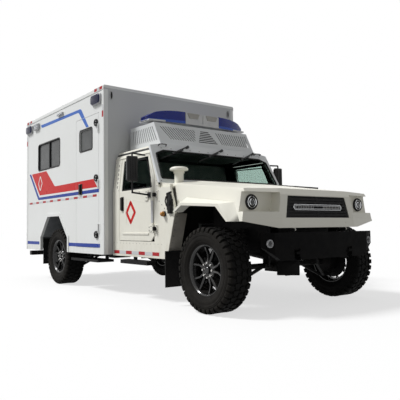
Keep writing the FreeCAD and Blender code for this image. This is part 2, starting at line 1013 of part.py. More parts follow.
def make_cab_shell():
    """Roof with the rear panel and pillars, the windscreen frame and its glass."""
    shell = cross_prism(cab_section(0, belt_z, roof_z), cab_rear, screen_base_x)
    hollow = cross_prism(cab_section(cab_skin, belt_z - 1, roof_z - cab_skin), cab_rear + cab_skin, 0)
    low, high = belt_z - 1, roof_z + 1
    screen_cut = side_prism([(screen_x(low) - screen_depth - seat_gap, low),
                             (screen_x(high) - screen_depth - seat_gap, high), (0, high), (0, low)],
                            -cab_half_width, cab_half_width)
    doorway = door_opening(belt_z - 1, door_top + door_gap).cut(
        block(cab_rear, 0, -roof_half_width + screen_post, roof_half_width - screen_post, 0,
              roof_z + over * 2))
    keep("cab_roof", cut(shell, [hollow, screen_cut, doorway]))
    frame = leaning_prism([(-screen_bottom_half, cowl_top_z + seat_gap),
                           (screen_bottom_half, cowl_top_z + seat_gap),
                           (screen_top_half, roof_z), (-screen_top_half, roof_z)], screen_x, -screen_depth)
    bottom = cowl_top_z + screen_border_bottom
    top = roof_z - screen_border_top
    half_low = screen_bottom_half - screen_border_side
    half_high = screen_top_half - screen_border_side
    light = [(-half_low, bottom), (half_low, bottom), (half_high, top - screen_corner_drop),
             (screen_corner_half, top),
             (-screen_corner_half, top), (-half_high, top - screen_corner_drop)]
    opening = leaning_prism(light, lambda z: screen_x(z) + screen_over, -screen_depth - screen_over * 2)
    lip = leaning_prism([(-screen_top_half, roof_z - 1), (screen_top_half, roof_z - 1),
                         (screen_lip_half, screen_lip_top), (-screen_lip_half, screen_lip_top)],
                        screen_x, -screen_lip_depth)
    keep("windscreen_frame", fuse([frame.cut(opening), lip]))
    inset = [(y - math.copysign(seat_gap, y), z + (seat_gap if z == bottom else -seat_gap)) for y,
             z in light]
    keep("windscreen", leaning_prism(inset, lambda z: screen_x(z) - screen_seat, -screen_glass))


def cab_door_panels():
    """Left cab door and its pane: a pressed lower panel and the leaning window frame."""
    y1 = cab_half_width
    y0 = y1 - door_thickness
    outline = [(door_rear, door_bottom), (door_front - door_corner, door_bottom),
               (door_front, door_bottom + door_corner), (door_front, belt_z), (door_rear, belt_z)]
    lower = side_prism(outline, y0, y1)
    pocket = block(door_rear + door_frame, door_front - door_frame, y0 + door_skin, y1 - door_skin,
                   door_bottom + door_corner,
                   belt_z - door_frame)
    lower = lower.cut(pocket)
    lean = math.degrees(math.atan2(cab_half_width - roof_half_width, gutter_z - belt_z))
    top_x = door_slope_x(door_top)
    frame = side_prism([(door_rear, belt_z), (door_front, belt_z), (door_front, door_kink_z),
                        (top_x, door_top),
                        (door_rear, door_top)], y0, y1)
    sill = belt_z + window_sill
    head = door_top - head_width
    light = [(door_rear + pillar_width, sill), (door_slope_x(sill) - front_pillar, sill),
             (door_slope_x(head) - front_pillar, head), (door_rear + pillar_width, head)]
    window = side_prism(light, y0 - over, y1 + over)
    pane = side_prism([(x - math.copysign(seat_gap, x - (door_rear + top_x) / 2),
                        z + (seat_gap if z == sill else
                                                                                        -seat_gap))
                       for x, z in light], y0 + door_glass_inset, y0 + door_glass_inset + glass_thickness)
    frame = frame.cut(window)
    for piece in (frame, pane):
        piece.rotate(Vector(0, y1, belt_z), Vector(1, 0, 0), lean)
    rib = block(door_rear + rib_rear, door_front - rib_front, y1, y1 + rib_proud, door_bottom + rib_low,
                door_bottom + rib_high)
    handle = block(door_rear + handle_inset, door_rear + handle_inset + handle_height, y1,
                   y1 + handle_proud, handle_low, handle_low + handle_length)
    cover = block(door_front - cover_rear, door_front - cover_front, y1, y1 + cover_proud, cover_low,
                  cover_high)
    return fuse([lower, frame, rib, handle, cover]), pane


def eight_sided(radius, low, high):
    """Upright eight-sided knuckle about the z axis, as wide across its corners as two radii."""
    corners = [math.pi / 8 + math.pi / 4 * index for index in range(8)]
    return plan_prism([(radius * math.cos(a), radius * math.sin(a)) for a in corners], low, high)


def hinge_pair(axis, toward_door, outward, heights, standoff, height, leaf):
    """Door leaves with barrels, and frame leaves with pins, for one upright hinge line.

    axis is the pin's x and y, toward_door and outward are unit directions in plan, standoff is
    the pin's distance outside the panel, and leaf is how far each leaf reaches.
    """
    barrel = standoff - 2
    pin = barrel * 0.5
    plate = standoff * hinge_plate_share
    lug = height * hinge_lug_share
    doors = []
    frames = []
    for z in heights:
        low, high = z - height / 2, z + height / 2
        door = fuse([eight_sided(barrel, low, high),
                     block(0, leaf, -standoff, -standoff + plate, low, high)])
        doors.append(door.cut(Part.makeCylinder(pin + pin_clearance, height + 2, Vector(0, 0, low - 1))))
        pieces = [block(-leaf, -barrel - 3, -standoff, -standoff + plate, low - lug, high + lug),
                  Part.makeCylinder(pin, height + lug * 2, Vector(0, 0, low - lug))]
        for base in (low - lug, high + 0.5):
            top = base + lug - 0.5
            pieces += [eight_sided(barrel, base, top), block(-barrel - 4, 0, -standoff, 0, base, top)]
        frames.append(fuse(pieces))
    left_handed = toward_door[0] * outward[1] - toward_door[1] * outward[0] < 0
    turn = math.degrees(math.atan2(toward_door[1], toward_door[0]))

    def placed(shape):
        shape = flip(shape) if left_handed else shape.copy()
        shape.rotate(Vector(0, 0, 0), Vector(0, 0, 1), turn)
        return moved(shape, axis[0], axis[1], 0)

    return [placed(s) for s in doors], [placed(s) for s in frames]


def make_cab():
    """Cab tub, shell, doors, glass and mirrors."""
    make_cab_shell()
    door, pane = cab_door_panels()
    standoff = cab_hinge_standoff
    leaves, body_leaves = hinge_pair((door_front + door_gap + 2, cab_half_width + standoff), (-1, 0),
                                     (0, 1),
                                     cab_hinge_heights, standoff, cab_hinge_height, hinge_leaf)
    door = fuse([door] + leaves)
    keep("cab_tub", fuse([make_cab_tub()] + body_leaves + [flip(s) for s in body_leaves]))
    keep("cab_door_left", door)
    keep("cab_door_right", flip(door))
    keep("cab_door_glass_left", pane)
    keep("cab_door_glass_right", flip(pane))
    mirror = make_mirror()
    keep("mirror_left", mirror)
    keep("mirror_right", flip(mirror))


def make_mirror():
    """Left mirror: rounded head, tube arms above and below, and a foot on the door."""
    head = block(mirror_x - mirror_depth / 2, mirror_x + mirror_depth / 2, mirror_y - mirror_width / 2,
                 mirror_y + mirror_width / 2, mirror_bottom, mirror_bottom + mirror_height)
    head = head.makeChamfer(mirror_corner,
                            [e for e in head.Edges if abs(e.Vertexes[0].Z - e.Vertexes[1].Z) > 1])
    head = head.makeChamfer(mirror_edge,
                            [e for e in head.Edges if abs(e.Vertexes[0].Z - e.Vertexes[-1].Z) < 1])
    top = mirror_bottom + mirror_height
    foot_x = door_front - mirror_foot_back
    foot = block(foot_x - mirror_foot_half, foot_x + mirror_foot_half, cab_half_width + seat_gap,
                 cab_half_width + mirror_foot_proud, mirror_foot_z - mirror_foot_half,
                 mirror_foot_z + mirror_foot_half)
    lean = (cab_half_width - roof_half_width) / (gutter_z - belt_z)
    upper_y = cab_half_width - (top + mirror_arm_rise - belt_z) * lean
    arms = [rod((mirror_x, mirror_y, mirror_bottom + mirror_arm_lap),
                (mirror_x, mirror_y, mirror_arm_low + mirror_arm_lap), mirror_arm_radius),
            rod((mirror_x, mirror_y, mirror_arm_low + mirror_arm_lap * 1.5),
                (foot_x, cab_half_width + mirror_arm_radius + 2, mirror_foot_z), mirror_arm_radius),
            rod((mirror_x, mirror_y, top - mirror_arm_lap), (mirror_x, mirror_y, top + mirror_arm_rise),
                mirror_arm_radius),
            rod((mirror_x, mirror_y, top + mirror_arm_rise),
                (mirror_x - mirror_stay_back, upper_y + mirror_stay_lap, top + mirror_arm_rise + over),
                mirror_arm_radius)]
    return fuse([head, foot] + arms)


def nose_profile(margin):
    """Nose outline in x and z on the centre line, drawn back by margin."""
    slope = (bonnet_rear_crown_z - bonnet_front_crown_z) / (nose_lip_x - nose_lip_back - bonnet_rear)
    return [(-reach_x, reach_low), (nose_bottom_x + nose_tuck - margin, reach_low),
            (nose_bottom_x - margin, nose_bottom_z),
            (nose_chin_x - margin, nose_chin_z), (nose_lip_x - margin, nose_lip_z),
            (nose_lip_x - nose_lip_back - margin, bonnet_front_crown_z),
            (nose_lip_x - nose_cut_back - margin, reach_high + slope),
            (-reach_x, reach_high)]


def nose_x(z):
    """Where the nose's centre face lies at height z."""
    points = nose_profile(0)[2:6]
    for (x0, z0), (x1, z1) in zip(points, points[1:]):
        if z <= z1:
            return x0 + (x1 - x0) * (z - z0) / (z1 - z0)
    return points[-1][0]


def nose_solid(margin):
    """Nose prism, flat in the middle and swept back towards each side."""
    middle = side_prism(nose_profile(margin), -nose_reach, nose_reach)
    near = nose_taper * (nose_reach + nose_centre_y)
    outline = facet([Vector(x + near, -nose_reach, z) for x, z in nose_profile(margin)])
    swept = outline.extrude(Vector(-2 * nose_reach * nose_taper, 2 * nose_reach, 0))
    return middle.common(swept).common(flip(swept))


def bonnet_solid(margin):
    """Bonnet block between the rear edge and past the nose, drawn in by margin."""
    front = nose_lip_x + overrun * 2
    grow = (front - bonnet_rear) / (nose_lip_x - nose_lip_back - bonnet_rear)

    def station(x, skirt, shoulder_y, shoulder_z, crown_y, crown_z):
        return [Vector(x, y, z) for y, z in
                ((-skirt + margin, bonnet_skirt_z), (-shoulder_y + margin, shoulder_z - margin),
                 (-crown_y, crown_z - margin), (crown_y, crown_z - margin),
                 (shoulder_y - margin, shoulder_z - margin), (skirt - margin, bonnet_skirt_z))]

    def reach(rear, fore):
        return rear + (fore - rear) * grow

    return loft([station(bonnet_rear, bonnet_skirt_y, bonnet_rear_shoulder_y, bonnet_rear_shoulder_z,
                         bonnet_rear_crown_y, bonnet_rear_crown_z),
                 station(front, reach(bonnet_skirt_y, bonnet_skirt_front_y),
                         reach(bonnet_rear_shoulder_y, bonnet_front_shoulder_y),
                         reach(bonnet_rear_shoulder_z, bonnet_front_shoulder_z),
                         reach(bonnet_rear_crown_y, bonnet_front_crown_y),
                         reach(bonnet_rear_crown_z, bonnet_front_crown_z))])


def lamp_bay(margin):
    """Recess beside the grille for one headlamp, open to the wing's side, grown by margin."""
    outline = [(bay_inner_y - margin, bay_bottom_z - margin), (reach_y, bay_bottom_z - margin),
               (reach_y, bay_top_z + margin), (bay_inner_y - bay_flank - margin, bay_top_z + margin)]
    return cross_prism(outline, bay_back_x - margin, bumper_front + overrun)


def under_nose():
    """What is cut away below the bonnet's edge: the arches, the chin line and the rear corner."""
    arch = side_prism([(-reach_x, reach_low), (reach_x, reach_low), (reach_x, arch_front_low[1]),
                       arch_front_low, arch_front_top,
                       arch_rear_top, arch_rear_low, (-reach_x, arch_rear_low[1])], -reach_y, reach_y)
    chin = cross_prism([(-reach_y, reach_low), (-reach_y, nose_end_z + chin_rise),
                        (-nose_end_y, nose_end_z), (-nose_centre_y - chin_run, nose_bottom_z),
                        (nose_centre_y + chin_run, nose_bottom_z), (nose_end_y, nose_end_z),
                        (reach_y, nose_end_z + chin_rise), (reach_y, reach_low)],
                       arch_front_low[0] + over * 2, reach_x)
    rest = arch.cut(block(arch_front_low[0] + over * 2, reach_x * 2, -reach_x, reach_x, 0, reach_x))
    return rest.fuse(chin)


def wheel_flare():
    """Left wheel-arch flare: a raised band that runs out into the bonnet side at the front."""
    arch = [arch_rear_low, arch_rear_top, arch_front_top, arch_front_low]
    lip = [(arch_rear_low[0] - flare_edge, arch_rear_low[1] + flare_foot_drop),
           (arch_rear_top[0] - flare_corner, arch_rear_top[1] + flare_edge),
           (arch_front_top[0] + flare_nose, arch_front_top[1] + flare_band),
           (arch_front_low[0] + flare_edge, arch_front_low[1])]
    root = [(lip[0][0] - flare_edge, lip[0][1]),
            (lip[1][0] - flare_corner, arch_rear_top[1] + flare_root_rise),
            (arch_front_top[0] + flare_root_sweep, arch_front_top[1] + flare_nose),
            (arch_front_low[0] + flare_root_sweep, arch_front_low[1])]
    outer = [Vector(x, flare_y, z) for x, z in lip + arch[::-1]]
    inner = [Vector(x, flare_root_y, z) for x, z in root + arch[::-1]]
    return loft([inner, outer])


def make_bonnet():
    """Bonnet with wings and nose as one shell, the grille and the headlamps."""
    outer = bonnet_solid(0).common(nose_solid(0))
    inner = bonnet_solid(bonnet_wall).common(nose_solid(bonnet_wall))
    bays = [lamp_bay(0), flip(lamp_bay(0))]
    backs = [lamp_bay(bonnet_wall), flip(lamp_bay(bonnet_wall))]
    shell = cut(outer, bays).cut(cut(inner, backs))
    shell = shell.cut(under_nose())
    rear = side_prism([(-reach_x, reach_low), (cowl_corner_x + bonnet_gap, reach_low),
                       (cowl_corner_x + bonnet_gap, cowl_corner_z),
                       (belt_front + bonnet_gap, belt_z), (belt_front + bonnet_gap, belt_z + bonnet_gap),
                       (bonnet_rear, belt_z + bonnet_gap), (bonnet_rear, reach_high),
                       (-reach_x, reach_high)], -reach_y, reach_y)
    flare = wheel_flare().cut(bonnet_solid(bonnet_wall / 2))
    shell = fuse([shell.cut(rear), flare, flip(flare)])
    hole = cross_prism([(-grille_bottom_y, grille_bottom_z), (grille_bottom_y, grille_bottom_z),
                        (grille_top_y, grille_top_z), (-grille_top_y, grille_top_z)],
                       bay_back_x - overrun, bumper_front + overrun)
    keep("bonnet_vent", bonnet_vent())
    ears = [ear for y in (-rail_y, rail_y) for ear in bonnet_ear(y)]
    keep("bonnet", fuse([shell.cut(hole)] + ears))
    make_grille()
    keep("headlamps", both([rod((bay_back_x + seat_gap, headlamp_y, headlamp_z),
                                (bay_back_x + headlamp_depth, headlamp_y, headlamp_z), headlamp_radius)]))


def bonnet_vent():
    """Low raised vent on the bonnet's left half, lifted off the skin by the seating gap."""
    slope = (bonnet_rear_crown_z - bonnet_front_crown_z) / (nose_lip_x - nose_lip_back - bonnet_rear)
    skin = [bonnet_rear_crown_z - (x - bonnet_rear) * slope for x in (vent_rear, vent_front)]
    outline = [(vent_rear, skin[0] - vent_sink), (vent_rear + vent_rise, skin[0] + vent_crown),
               (vent_front - vent_run_out, skin[1] + vent_crown), (vent_front, skin[1] - vent_sink)]
    return side_prism(outline, vent_y - vent_half_width,
                      vent_y + vent_half_width).cut(bonnet_solid(-seat_gap))


def bonnet_ear(y):
    """Ear under the nose that turns on the frame's pin."""
    start = y + ear_start
    end = start + bonnet_ear_thickness
    face = nose_bottom_x - bonnet_wall
    ear = fuse([block(face - ear_width, face - seat_gap, start, end, bonnet_pivot_z - post_outer,
                      nose_bottom_z + ear_height),
                rod((bonnet_pivot_x, start, bonnet_pivot_z), (bonnet_pivot_x, end, bonnet_pivot_z),
                    bonnet_ear_radius)])
    return [ear.cut(rod((bonnet_pivot_x, start - 1, bonnet_pivot_z),
                        (bonnet_pivot_x, end + 1, bonnet_pivot_z),
                        bonnet_pin_radius + pin_clearance))]


def make_grille():
    """Black grille plate with slats, set against the back of the nose."""
    back = bonnet_wall + seat_gap
    low = grille_bottom_z - grille_lap
    high = grille_top_z + grille_top_lap
    rim = [(-grille_bottom_y - grille_lap, low), (grille_bottom_y + grille_lap, low),
           (grille_top_y + grille_lap, high), (-grille_top_y - grille_lap, high)]
    slope = (nose_x(high) - nose_chin_x) / (high - nose_chin_z)

    def face_x(z):
        return nose_chin_x + slope * (z - nose_chin_z) - back

    plate = leaning_prism(rim, face_x, -grille_depth)
    pitch = (grille_top_z - grille_bottom_z) / grille_bars
    slots = []
    for index in range(grille_bars):
        z = grille_bottom_z + pitch * (index + slot_start_share)
        half = grille_bottom_y - slot_margin - (grille_bottom_y - grille_top_y) * index / grille_bars
        slots.append(block(bay_back_x - overrun, bumper_front + overrun, -half, -grille_post, z,
                           z + pitch / 2))
        slots.append(block(bay_back_x - overrun, bumper_front + overrun, grille_post, half, z,
                           z + pitch / 2))
    keep("grille", cut(plate, slots))


def make_bumper():
    """Front bumper shell with bevelled ends, fog lamp holes and towing eyes."""
    def plan(margin, rear):
        return [(rear, -bumper_half_width + margin), (bumper_end_x - margin, -bumper_half_width + margin),
                (bumper_front - margin, -bumper_flat_half), (bumper_front - margin, bumper_flat_half),
                (bumper_end_x - margin, bumper_half_width - margin), (rear, bumper_half_width - margin)]

    def end_cut(grow):
        return cross_prism([(bumper_lower_half - grow, bumper_bottom - 20),
                            (bumper_half_width + 50, bumper_bottom - 20),
                            (bumper_half_width + 50, bumper_end_low + grow),
                            (bumper_half_width - grow, bumper_end_high + grow),
                            (bumper_lower_half - grow, bumper_bottom + grow)], 500, 750)

    outer = plan_prism(plan(0, bumper_rear), bumper_bottom, bumper_top)
    inner = plan_prism(plan(bumper_wall, bumper_rear - 20), bumper_bottom + bumper_wall,
                       bumper_top - bumper_wall)
    inner = cut(inner, [end_cut(bumper_wall), flip(end_cut(bumper_wall))])
    shell = cut(outer, [end_cut(0), flip(end_cut(0))]).cut(inner)
    lamp_hole = rod((500, fog_y, fog_z), (750, fog_y, fog_z), fog_radius)
    shell = cut(shell, [lamp_hole, flip(lamp_hole)])
    low = tow_eye_z - tow_eye_thickness / 2
    tip = front_overhang
    arm = fuse([block(rail_front + seat_gap, bumper_front - bumper_wall + 1, rail_inner, rail_outer,
                      tow_eye_z + tow_eye_radius * 2, rail_top),
                block(rail_front + seat_gap, bumper_rear + tow_eye_half / 2, rail_inner, rail_outer, low,
                      rail_top)])
    tongue = block(bumper_rear, tip, tow_eye_y - tow_eye_half, tow_eye_y + tow_eye_half, low,
                   low + tow_eye_thickness)
    hole_x = tip - tow_eye_radius * 2
    bore = rod((hole_x, tow_eye_y, low - 1), (hole_x, tow_eye_y, low + tow_eye_thickness + 1),
               tow_eye_radius)
    notch = block(bumper_rear - 1, bumper_front + 1, tow_eye_y - tow_eye_plate, tow_eye_y + tow_eye_plate,
                  bumper_bottom - 1, tow_eye_z + tow_eye_plate)
    shell = cut(shell, [notch, flip(notch)])
    tongue = tongue.cut(bore)
    keep("front_bumper", fuse([shell, arm, flip(arm), tongue, flip(tongue)]))


def make_box():
    """Box body: floor, walls, roof and rear frame, each a panel of its own."""
    make_box_floor()
    notch_half = rail_outer + tunnel_clearance
    front = block(box_front - box_wall, box_front, -box_half_width, box_half_width, box_bottom, wall_top)
    notch = block(box_front - box_wall - 1, box_front + 1, -notch_half, notch_half, box_bottom - 1,
                  floor_bottom)
    keep("box_front_wall", front.cut(notch))
    make_side_walls()
    roof = block(box_rear, box_front, -box_half_width, box_half_width, wall_top, box_top)
    top_edges = [e for e in roof.Edges
                 if min(v.Z for v in e.Vertexes) > box_top - 1 and e.Length > box_length - 1]
    roof = roof.makeChamfer(box_edge_radius / 2, top_edges)
    rail = block(box_rear, box_front, box_half_width, box_half_width + roof_rail_proud,
                 box_top - roof_rail_height, box_top - box_edge_radius)
    keep("box_roof", fuse([roof, rail, flip(rail)]))
    rear = block(box_rear, box_rear + box_wall, -box_half_width, box_half_width, box_bottom, wall_top)
    half = box_half_width - rear_post_width
    opening = block(box_rear - 1, box_rear + box_wall + 1, -half, half, box_bottom + rear_sill_height,
                    box_top - rear_head_height)
    keep("box_rear_frame", rear.cut(opening))


def box_arch(grow):
    """Wheel arch outline in the box side, grown outwards by grow."""
    front = rear_axle_x + box_arch_front_x + grow
    rear = rear_axle_x - box_arch_rear_x - grow
    top_front = rear_axle_x + box_arch_top_front_x + grow * 0.4
    top_rear = rear_axle_x - box_arch_top_rear_x - grow * 0.4
    return [(rear, box_bottom - 1), (rear, box_arch_shoulder_z + grow * 0.4),
            (top_rear, box_arch_top_z + grow),
            (top_front, box_arch_top_z + grow), (front, box_arch_shoulder_z + grow * 0.4),
            (front, box_bottom - 1)]


def make_box_floor():
    """Floor with wheel housings, bearers on the frame and the entrance step well."""
    front = box_front - box_wall
    rear = box_rear + box_wall
    floor = block(rear, front, -wall_inner_y, wall_inner_y, floor_bottom, box_floor_top)
    house = side_prism(box_arch(wheelhouse_wall), wheelhouse_inner_y, wall_inner_y)
    hollow = side_prism(box_arch(0), wheelhouse_inner_y + wheelhouse_wall, wall_inner_y + 1)
    skirt = block(rear, front, wheelhouse_inner_y - 1, wall_inner_y + 1, 0,
                  floor_bottom - box_floor_thickness)
    house = house.cut(skirt)
    pieces = [floor, house, flip(house)]
    runner = block(rear, front, rail_inner, rail_outer, rail_top, floor_bottom)
    pieces += [runner, flip(runner)]
    for x in outrigger_x():
        bearer = block(x - mount_half, x + mount_half, rail_outer, wall_inner_y, rail_top, floor_bottom)
        pieces += [bearer, flip(bearer)]
    well_inner = wall_inner_y - well_depth
    pieces.append(block(side_door_rear, side_door_front, -wall_inner_y, -well_inner, side_door_bottom,
                        box_floor_top))
    well = block(side_door_rear + wheelhouse_wall, side_door_front - wheelhouse_wall, -wall_inner_y - 1,
                 -well_inner - wheelhouse_wall, side_door_bottom + wheelhouse_wall, box_floor_top + 1)
    keep("box_floor", cut(fuse(pieces), [hollow, flip(hollow), well]))


def outrigger_x():
    """Where the frame's outriggers and the floor's bearers stand along the box."""
    return [box_front - box_wall - mount_half - box_outrigger_gap,
            side_door_rear - mount_half - box_outrigger_door,
            rear_axle_x - box_arch_rear_x - wheelhouse_wall - mount_half - box_outrigger_arch,
            box_rear + box_outrigger_rear]


def side_window(grow):
    """Left side window outline as a rounded block through the wall, grown by grow."""
    rear = box_rear + side_window_from_rear
    top = box_top - side_window_drop
    return rounded_plate(rear - grow, rear + side_window_length + grow, top - side_window_height - grow,
                         top + grow,
                         wall_inner_y - 5, box_half_width + 5, side_window_corner + grow)


def make_side_walls():
    """Side walls with their arches, window, door opening and the raised arch trim."""
    side = block(box_rear + box_wall, box_front - box_wall, wall_inner_y, box_half_width, box_bottom,
                 wall_top)
    trim = side_prism(box_arch(arch_trim_width), box_half_width, box_half_width + arch_trim_proud)
    trim = trim.cut(block(box_rear, box_front, 0, box_half_width + 100, 0, box_bottom))
    arch = side_prism(box_arch(0), wall_inner_y - 5, box_half_width + 50)
    side = cut(fuse([side, trim]), [arch, side_window(0)])
    keep("box_left_wall", side)
    doorway = block(side_door_rear, side_door_front, -box_half_width - 50, -wall_inner_y + 5,
                    side_door_bottom,
                    side_door_top)
    keep("box_right_wall", flip(side).cut(doorway))
    y_in = wall_inner_y + box_wall * trim_inset_share
    slab = block(box_rear, box_front, y_in, y_in + glass_thickness, 0, box_top)
    pane = side_window(-seat_gap).common(slab)
    keep("box_windows", both([pane]))
    ring_slab = block(box_rear, box_front, y_in + glass_thickness + seat_gap,
                      box_half_width + window_frame_proud,
                      0, box_top)
    ring = side_window(-seat_gap).cut(side_window(-window_frame_width)).common(ring_slab)
    rear = box_rear + side_window_from_rear
    top = box_top - side_window_drop
    middle = rear + side_window_length * window_low_share
    divider = block(middle - window_divider_half, middle + window_divider_half,
                    y_in + glass_thickness + seat_gap, box_half_width + 2,
                    top - side_window_height + window_frame_width / 2, top - window_frame_width / 2)
    keep("box_window_frames", both([fuse([ring, divider])]))


def make_side_door():
    """Side entrance door with its window, handle and hinges."""
    outside = -box_half_width
    door = block(side_door_rear + side_door_gap, side_door_front - side_door_gap, outside,
                 outside + box_wall,
                 side_door_bottom + side_door_gap, side_door_top - side_door_gap)
    front = side_door_front - side_door_window_front
    rear = front - side_door_window_length
    high = side_door_window_bottom + side_door_window_height

    def window(grow, y0, y1):
        return rounded_plate(rear - grow, front + grow, side_door_window_bottom - grow, high + grow, y0, y1,
                             25 + grow)

    ring = window(window_frame_width, outside - window_frame_proud, outside)
    hole = window(0, outside - 50, outside + box_wall + 5)
    hinge_z = [side_door_bottom + side_door_hinge_margin, (side_door_bottom + side_door_top) / 2 + 30,
               side_door_top - side_door_hinge_margin + 50]
    covers = [rod((side_door_front - hinge_cover_margin, outside, z), (side_door_front - hinge_cover_margin,
                                                                       outside - 14, z), hinge_cover_radius)
              for z in hinge_z]
    handle_x = side_door_rear + side_door_gap + side_handle_back
    grip = block(handle_x, handle_x + handle_height, outside - handle_proud, outside,
                 side_handle_z - handle_length / 2,
                 side_handle_z + handle_length / 2)
    leaf_z = ([z + side_hinge_offset for z in hinge_z[:1]] +
              [z - side_hinge_offset for z in hinge_z[1:]])
    leaves, wall_leaves = hinge_pair((side_door_front - side_door_gap / 2, outside - side_hinge_standoff),
                                     (-1, 0), (0, -1), leaf_z, side_hinge_standoff, side_hinge_height,
                                     side_hinge_leaf)
    keep("side_door", fuse([door, grip] + covers + leaves).cut(hole))
    keep("side_door_trim", ring.cut(hole))
    keep("box_right_wall", fuse([parts["box_right_wall"]] + wall_leaves))
    keep("side_door_glass", window(-seat_gap, outside + 14, outside + 14 + glass_thickness))


def make_rear_doors():
    """The two rear doors with windows, lock bars and hinges."""
    half = box_half_width - rear_post_width
    low = box_bottom + rear_sill_height + rear_door_gap
    high = box_top - rear_head_height - rear_door_gap
    leaf = block(box_rear, box_rear + box_wall, rear_door_gap / 2, half - rear_door_gap, low, high)
    top = box_top - rear_window_drop
    window = block(box_rear - 5, box_rear + box_wall + 5, rear_window_inner,
                   rear_window_inner + rear_window_width,
                   top - rear_window_height, top)
    standoff = rear_hinge_standoff
    heights = (low + rear_hinge_inset, (low + high) / 2, high - rear_hinge_inset)
    leaves, frame_leaves = hinge_pair((box_rear - standoff, half - rear_door_gap / 2), (0, -1), (-1, 0),
                                      heights, standoff, rear_hinge_height, hinge_leaf)
    lock_x = box_rear - lock_bar_radius + 3
    lock = rod((lock_x, lock_bar_y, low + lock_bar_inset), (lock_x, lock_bar_y, high - lock_bar_inset),
               lock_bar_radius)
    lever = block(box_rear - lock_bar_radius * 2.4, box_rear - lock_bar_radius, lock_bar_y,
                  lock_bar_y + lock_lever_length,
                  low + lock_lever_z, low + lock_lever_z + lock_lever_height)
    door = fuse([leaf.cut(window), lock, lever] + leaves)
    keep("box_rear_frame", fuse([parts["box_rear_frame"]] + frame_leaves + [flip(s) for s in frame_leaves]))
    keep("rear_door_left", door)
    keep("rear_door_right", flip(door))
    inset = seat_gap
    pane = block(box_rear + 14, box_rear + 14 + glass_thickness, rear_window_inner + inset,
                 rear_window_inner + rear_window_width - inset, top - rear_window_height + inset,
                 top - inset)
    keep("rear_door_glass_left", pane)
    keep("rear_door_glass_right", flip(pane))


def shroud_body(margin):
    """Shroud outline as a prism, drawn in by margin."""
    outline = [(shroud_rear + margin, roof_z - (margin > 0)),
               (shroud_front_low - margin, roof_z - (margin > 0)),
               (shroud_front_high - margin, shroud_top - margin),
               (shroud_rear + margin + 12, shroud_top - margin)]
    return side_prism(outline, -shroud_half_width + margin, shroud_half_width - margin)


def front_slots():
    """Three fields of slots in the shroud's front: diagonals, level slots and an upright fan."""
    x0, x1 = shroud_front_high - 40, shroud_front_low + 5

    def leaning(high, low):
        return cross_prism([(low, slot_bottom), (low + slot_width, slot_bottom),
                            (high + slot_width, slot_top),
                            (high, slot_top)], x0, x1)

    field = cross_prism([(-shroud_half_width, slot_bottom), (diagonal_end_low, slot_bottom),
                         (diagonal_end_high, slot_top), (-shroud_half_width, slot_top)], x0, x1)
    slots = []
    for index in range(diagonal_count):
        high = diagonal_first + index * diagonal_pitch
        slots += leaning(high, high + diagonal_run).common(field).Solids
    for index in range(flat_slot_count):
        z = slot_bottom + index * flat_slot_pitch
        grow = (flat_slot_half_high - flat_slot_half_low) / (flat_slot_count - 1)
        half = flat_slot_half_low + grow * index
        slots.append(block(x0, x1, -half, half, z, z + slot_width))
    for index in range(fan_count):
        share = index / (fan_count - 1)
        slots.append(leaning(fan_first_high + share * (fan_last_high - fan_first_high),
                             fan_first_low + share * (fan_last_low - fan_first_low)))
    return slots


def make_shroud():
    """Shroud on the cab roof with fans of slots in its front and sides."""
    shroud = shroud_body(0).cut(shroud_body(shroud_wall))
    slots = front_slots()
    for index in range(side_slot_count):
        share = index / (side_slot_count - 1)
        low = side_slot_front_low + share * (side_slot_rear_low - side_slot_front_low)
        high = side_slot_front_high + share * (side_slot_rear_high - side_slot_front_high)
        slot = side_prism([(low, slot_bottom - 20), (low - slot_width, slot_bottom - 20),
                           (high - slot_width, slot_top), (high, slot_top)],
                          shroud_half_width - shroud_wall - 5, shroud_half_width + 5)
        slots += [slot, flip(slot)]
    keep("roof_shroud", shroud.cut(Part.makeCompound(slots)))


def bar_section(y, shrink, low):
    """Light bar lens outline in x and z at y, made smaller by shrink."""
    back = bar_x - bar_length / 2 - bar_sweep * max(0, (y - bar_centre_half) / bar_half_width)
    front = back + bar_length
    high = bar_top - shrink
    return [Vector(back, y, low), Vector(front, y, low), Vector(front, y, high - bar_dome),
            Vector(front - bar_dome, y, high), Vector(back + bar_dome, y, high),
            Vector(back, y, high - bar_dome)]


def make_light_bar():
    """Light bar with a tray, feet, a grey centre and two domed lenses."""
    tray_top = bar_bottom + bar_tray
    outer = bar_half_width - bar_end_slope
    corner = [(p.x, p.y) for p in (bar_section(bar_half_width, 0, tray_top)[0],
                                   bar_section(bar_half_width, 0, tray_top)[1])]
    inner = [(p.x, p.y) for p in (bar_section(bar_centre_half, 0, tray_top)[1],
                                  bar_section(bar_centre_half, 0, tray_top)[0])]
    wing = plan_prism(corner + inner, bar_bottom, tray_top)
    centre = block(bar_x - bar_length / 2, bar_x + bar_length / 2, -bar_centre_half, bar_centre_half,
                   bar_bottom,
                   bar_top - 12)
    recess = block(bar_x + bar_length / 2 - 12, bar_x + bar_length, -14, 14, tray_top + 8, bar_top)
    feet = [block(bar_x - bar_foot_half, bar_x + bar_foot_half, y - bar_foot_half, y + bar_foot_half,
                  shroud_top,
                  bar_bottom) for y in (-bar_foot_y, bar_foot_y)]
    keep("light_bar", fuse([centre, wing, flip(wing)] + feet).cut(recess))
    low = tray_top + seat_gap
    lens = fuse([loft([bar_section(bar_centre_half + seat_gap, 0, low), bar_section(outer, 0, low)]),
                 loft([bar_section(outer, 0, low), bar_section(bar_half_width - 4, bar_end_slope, low)])])
    return lens


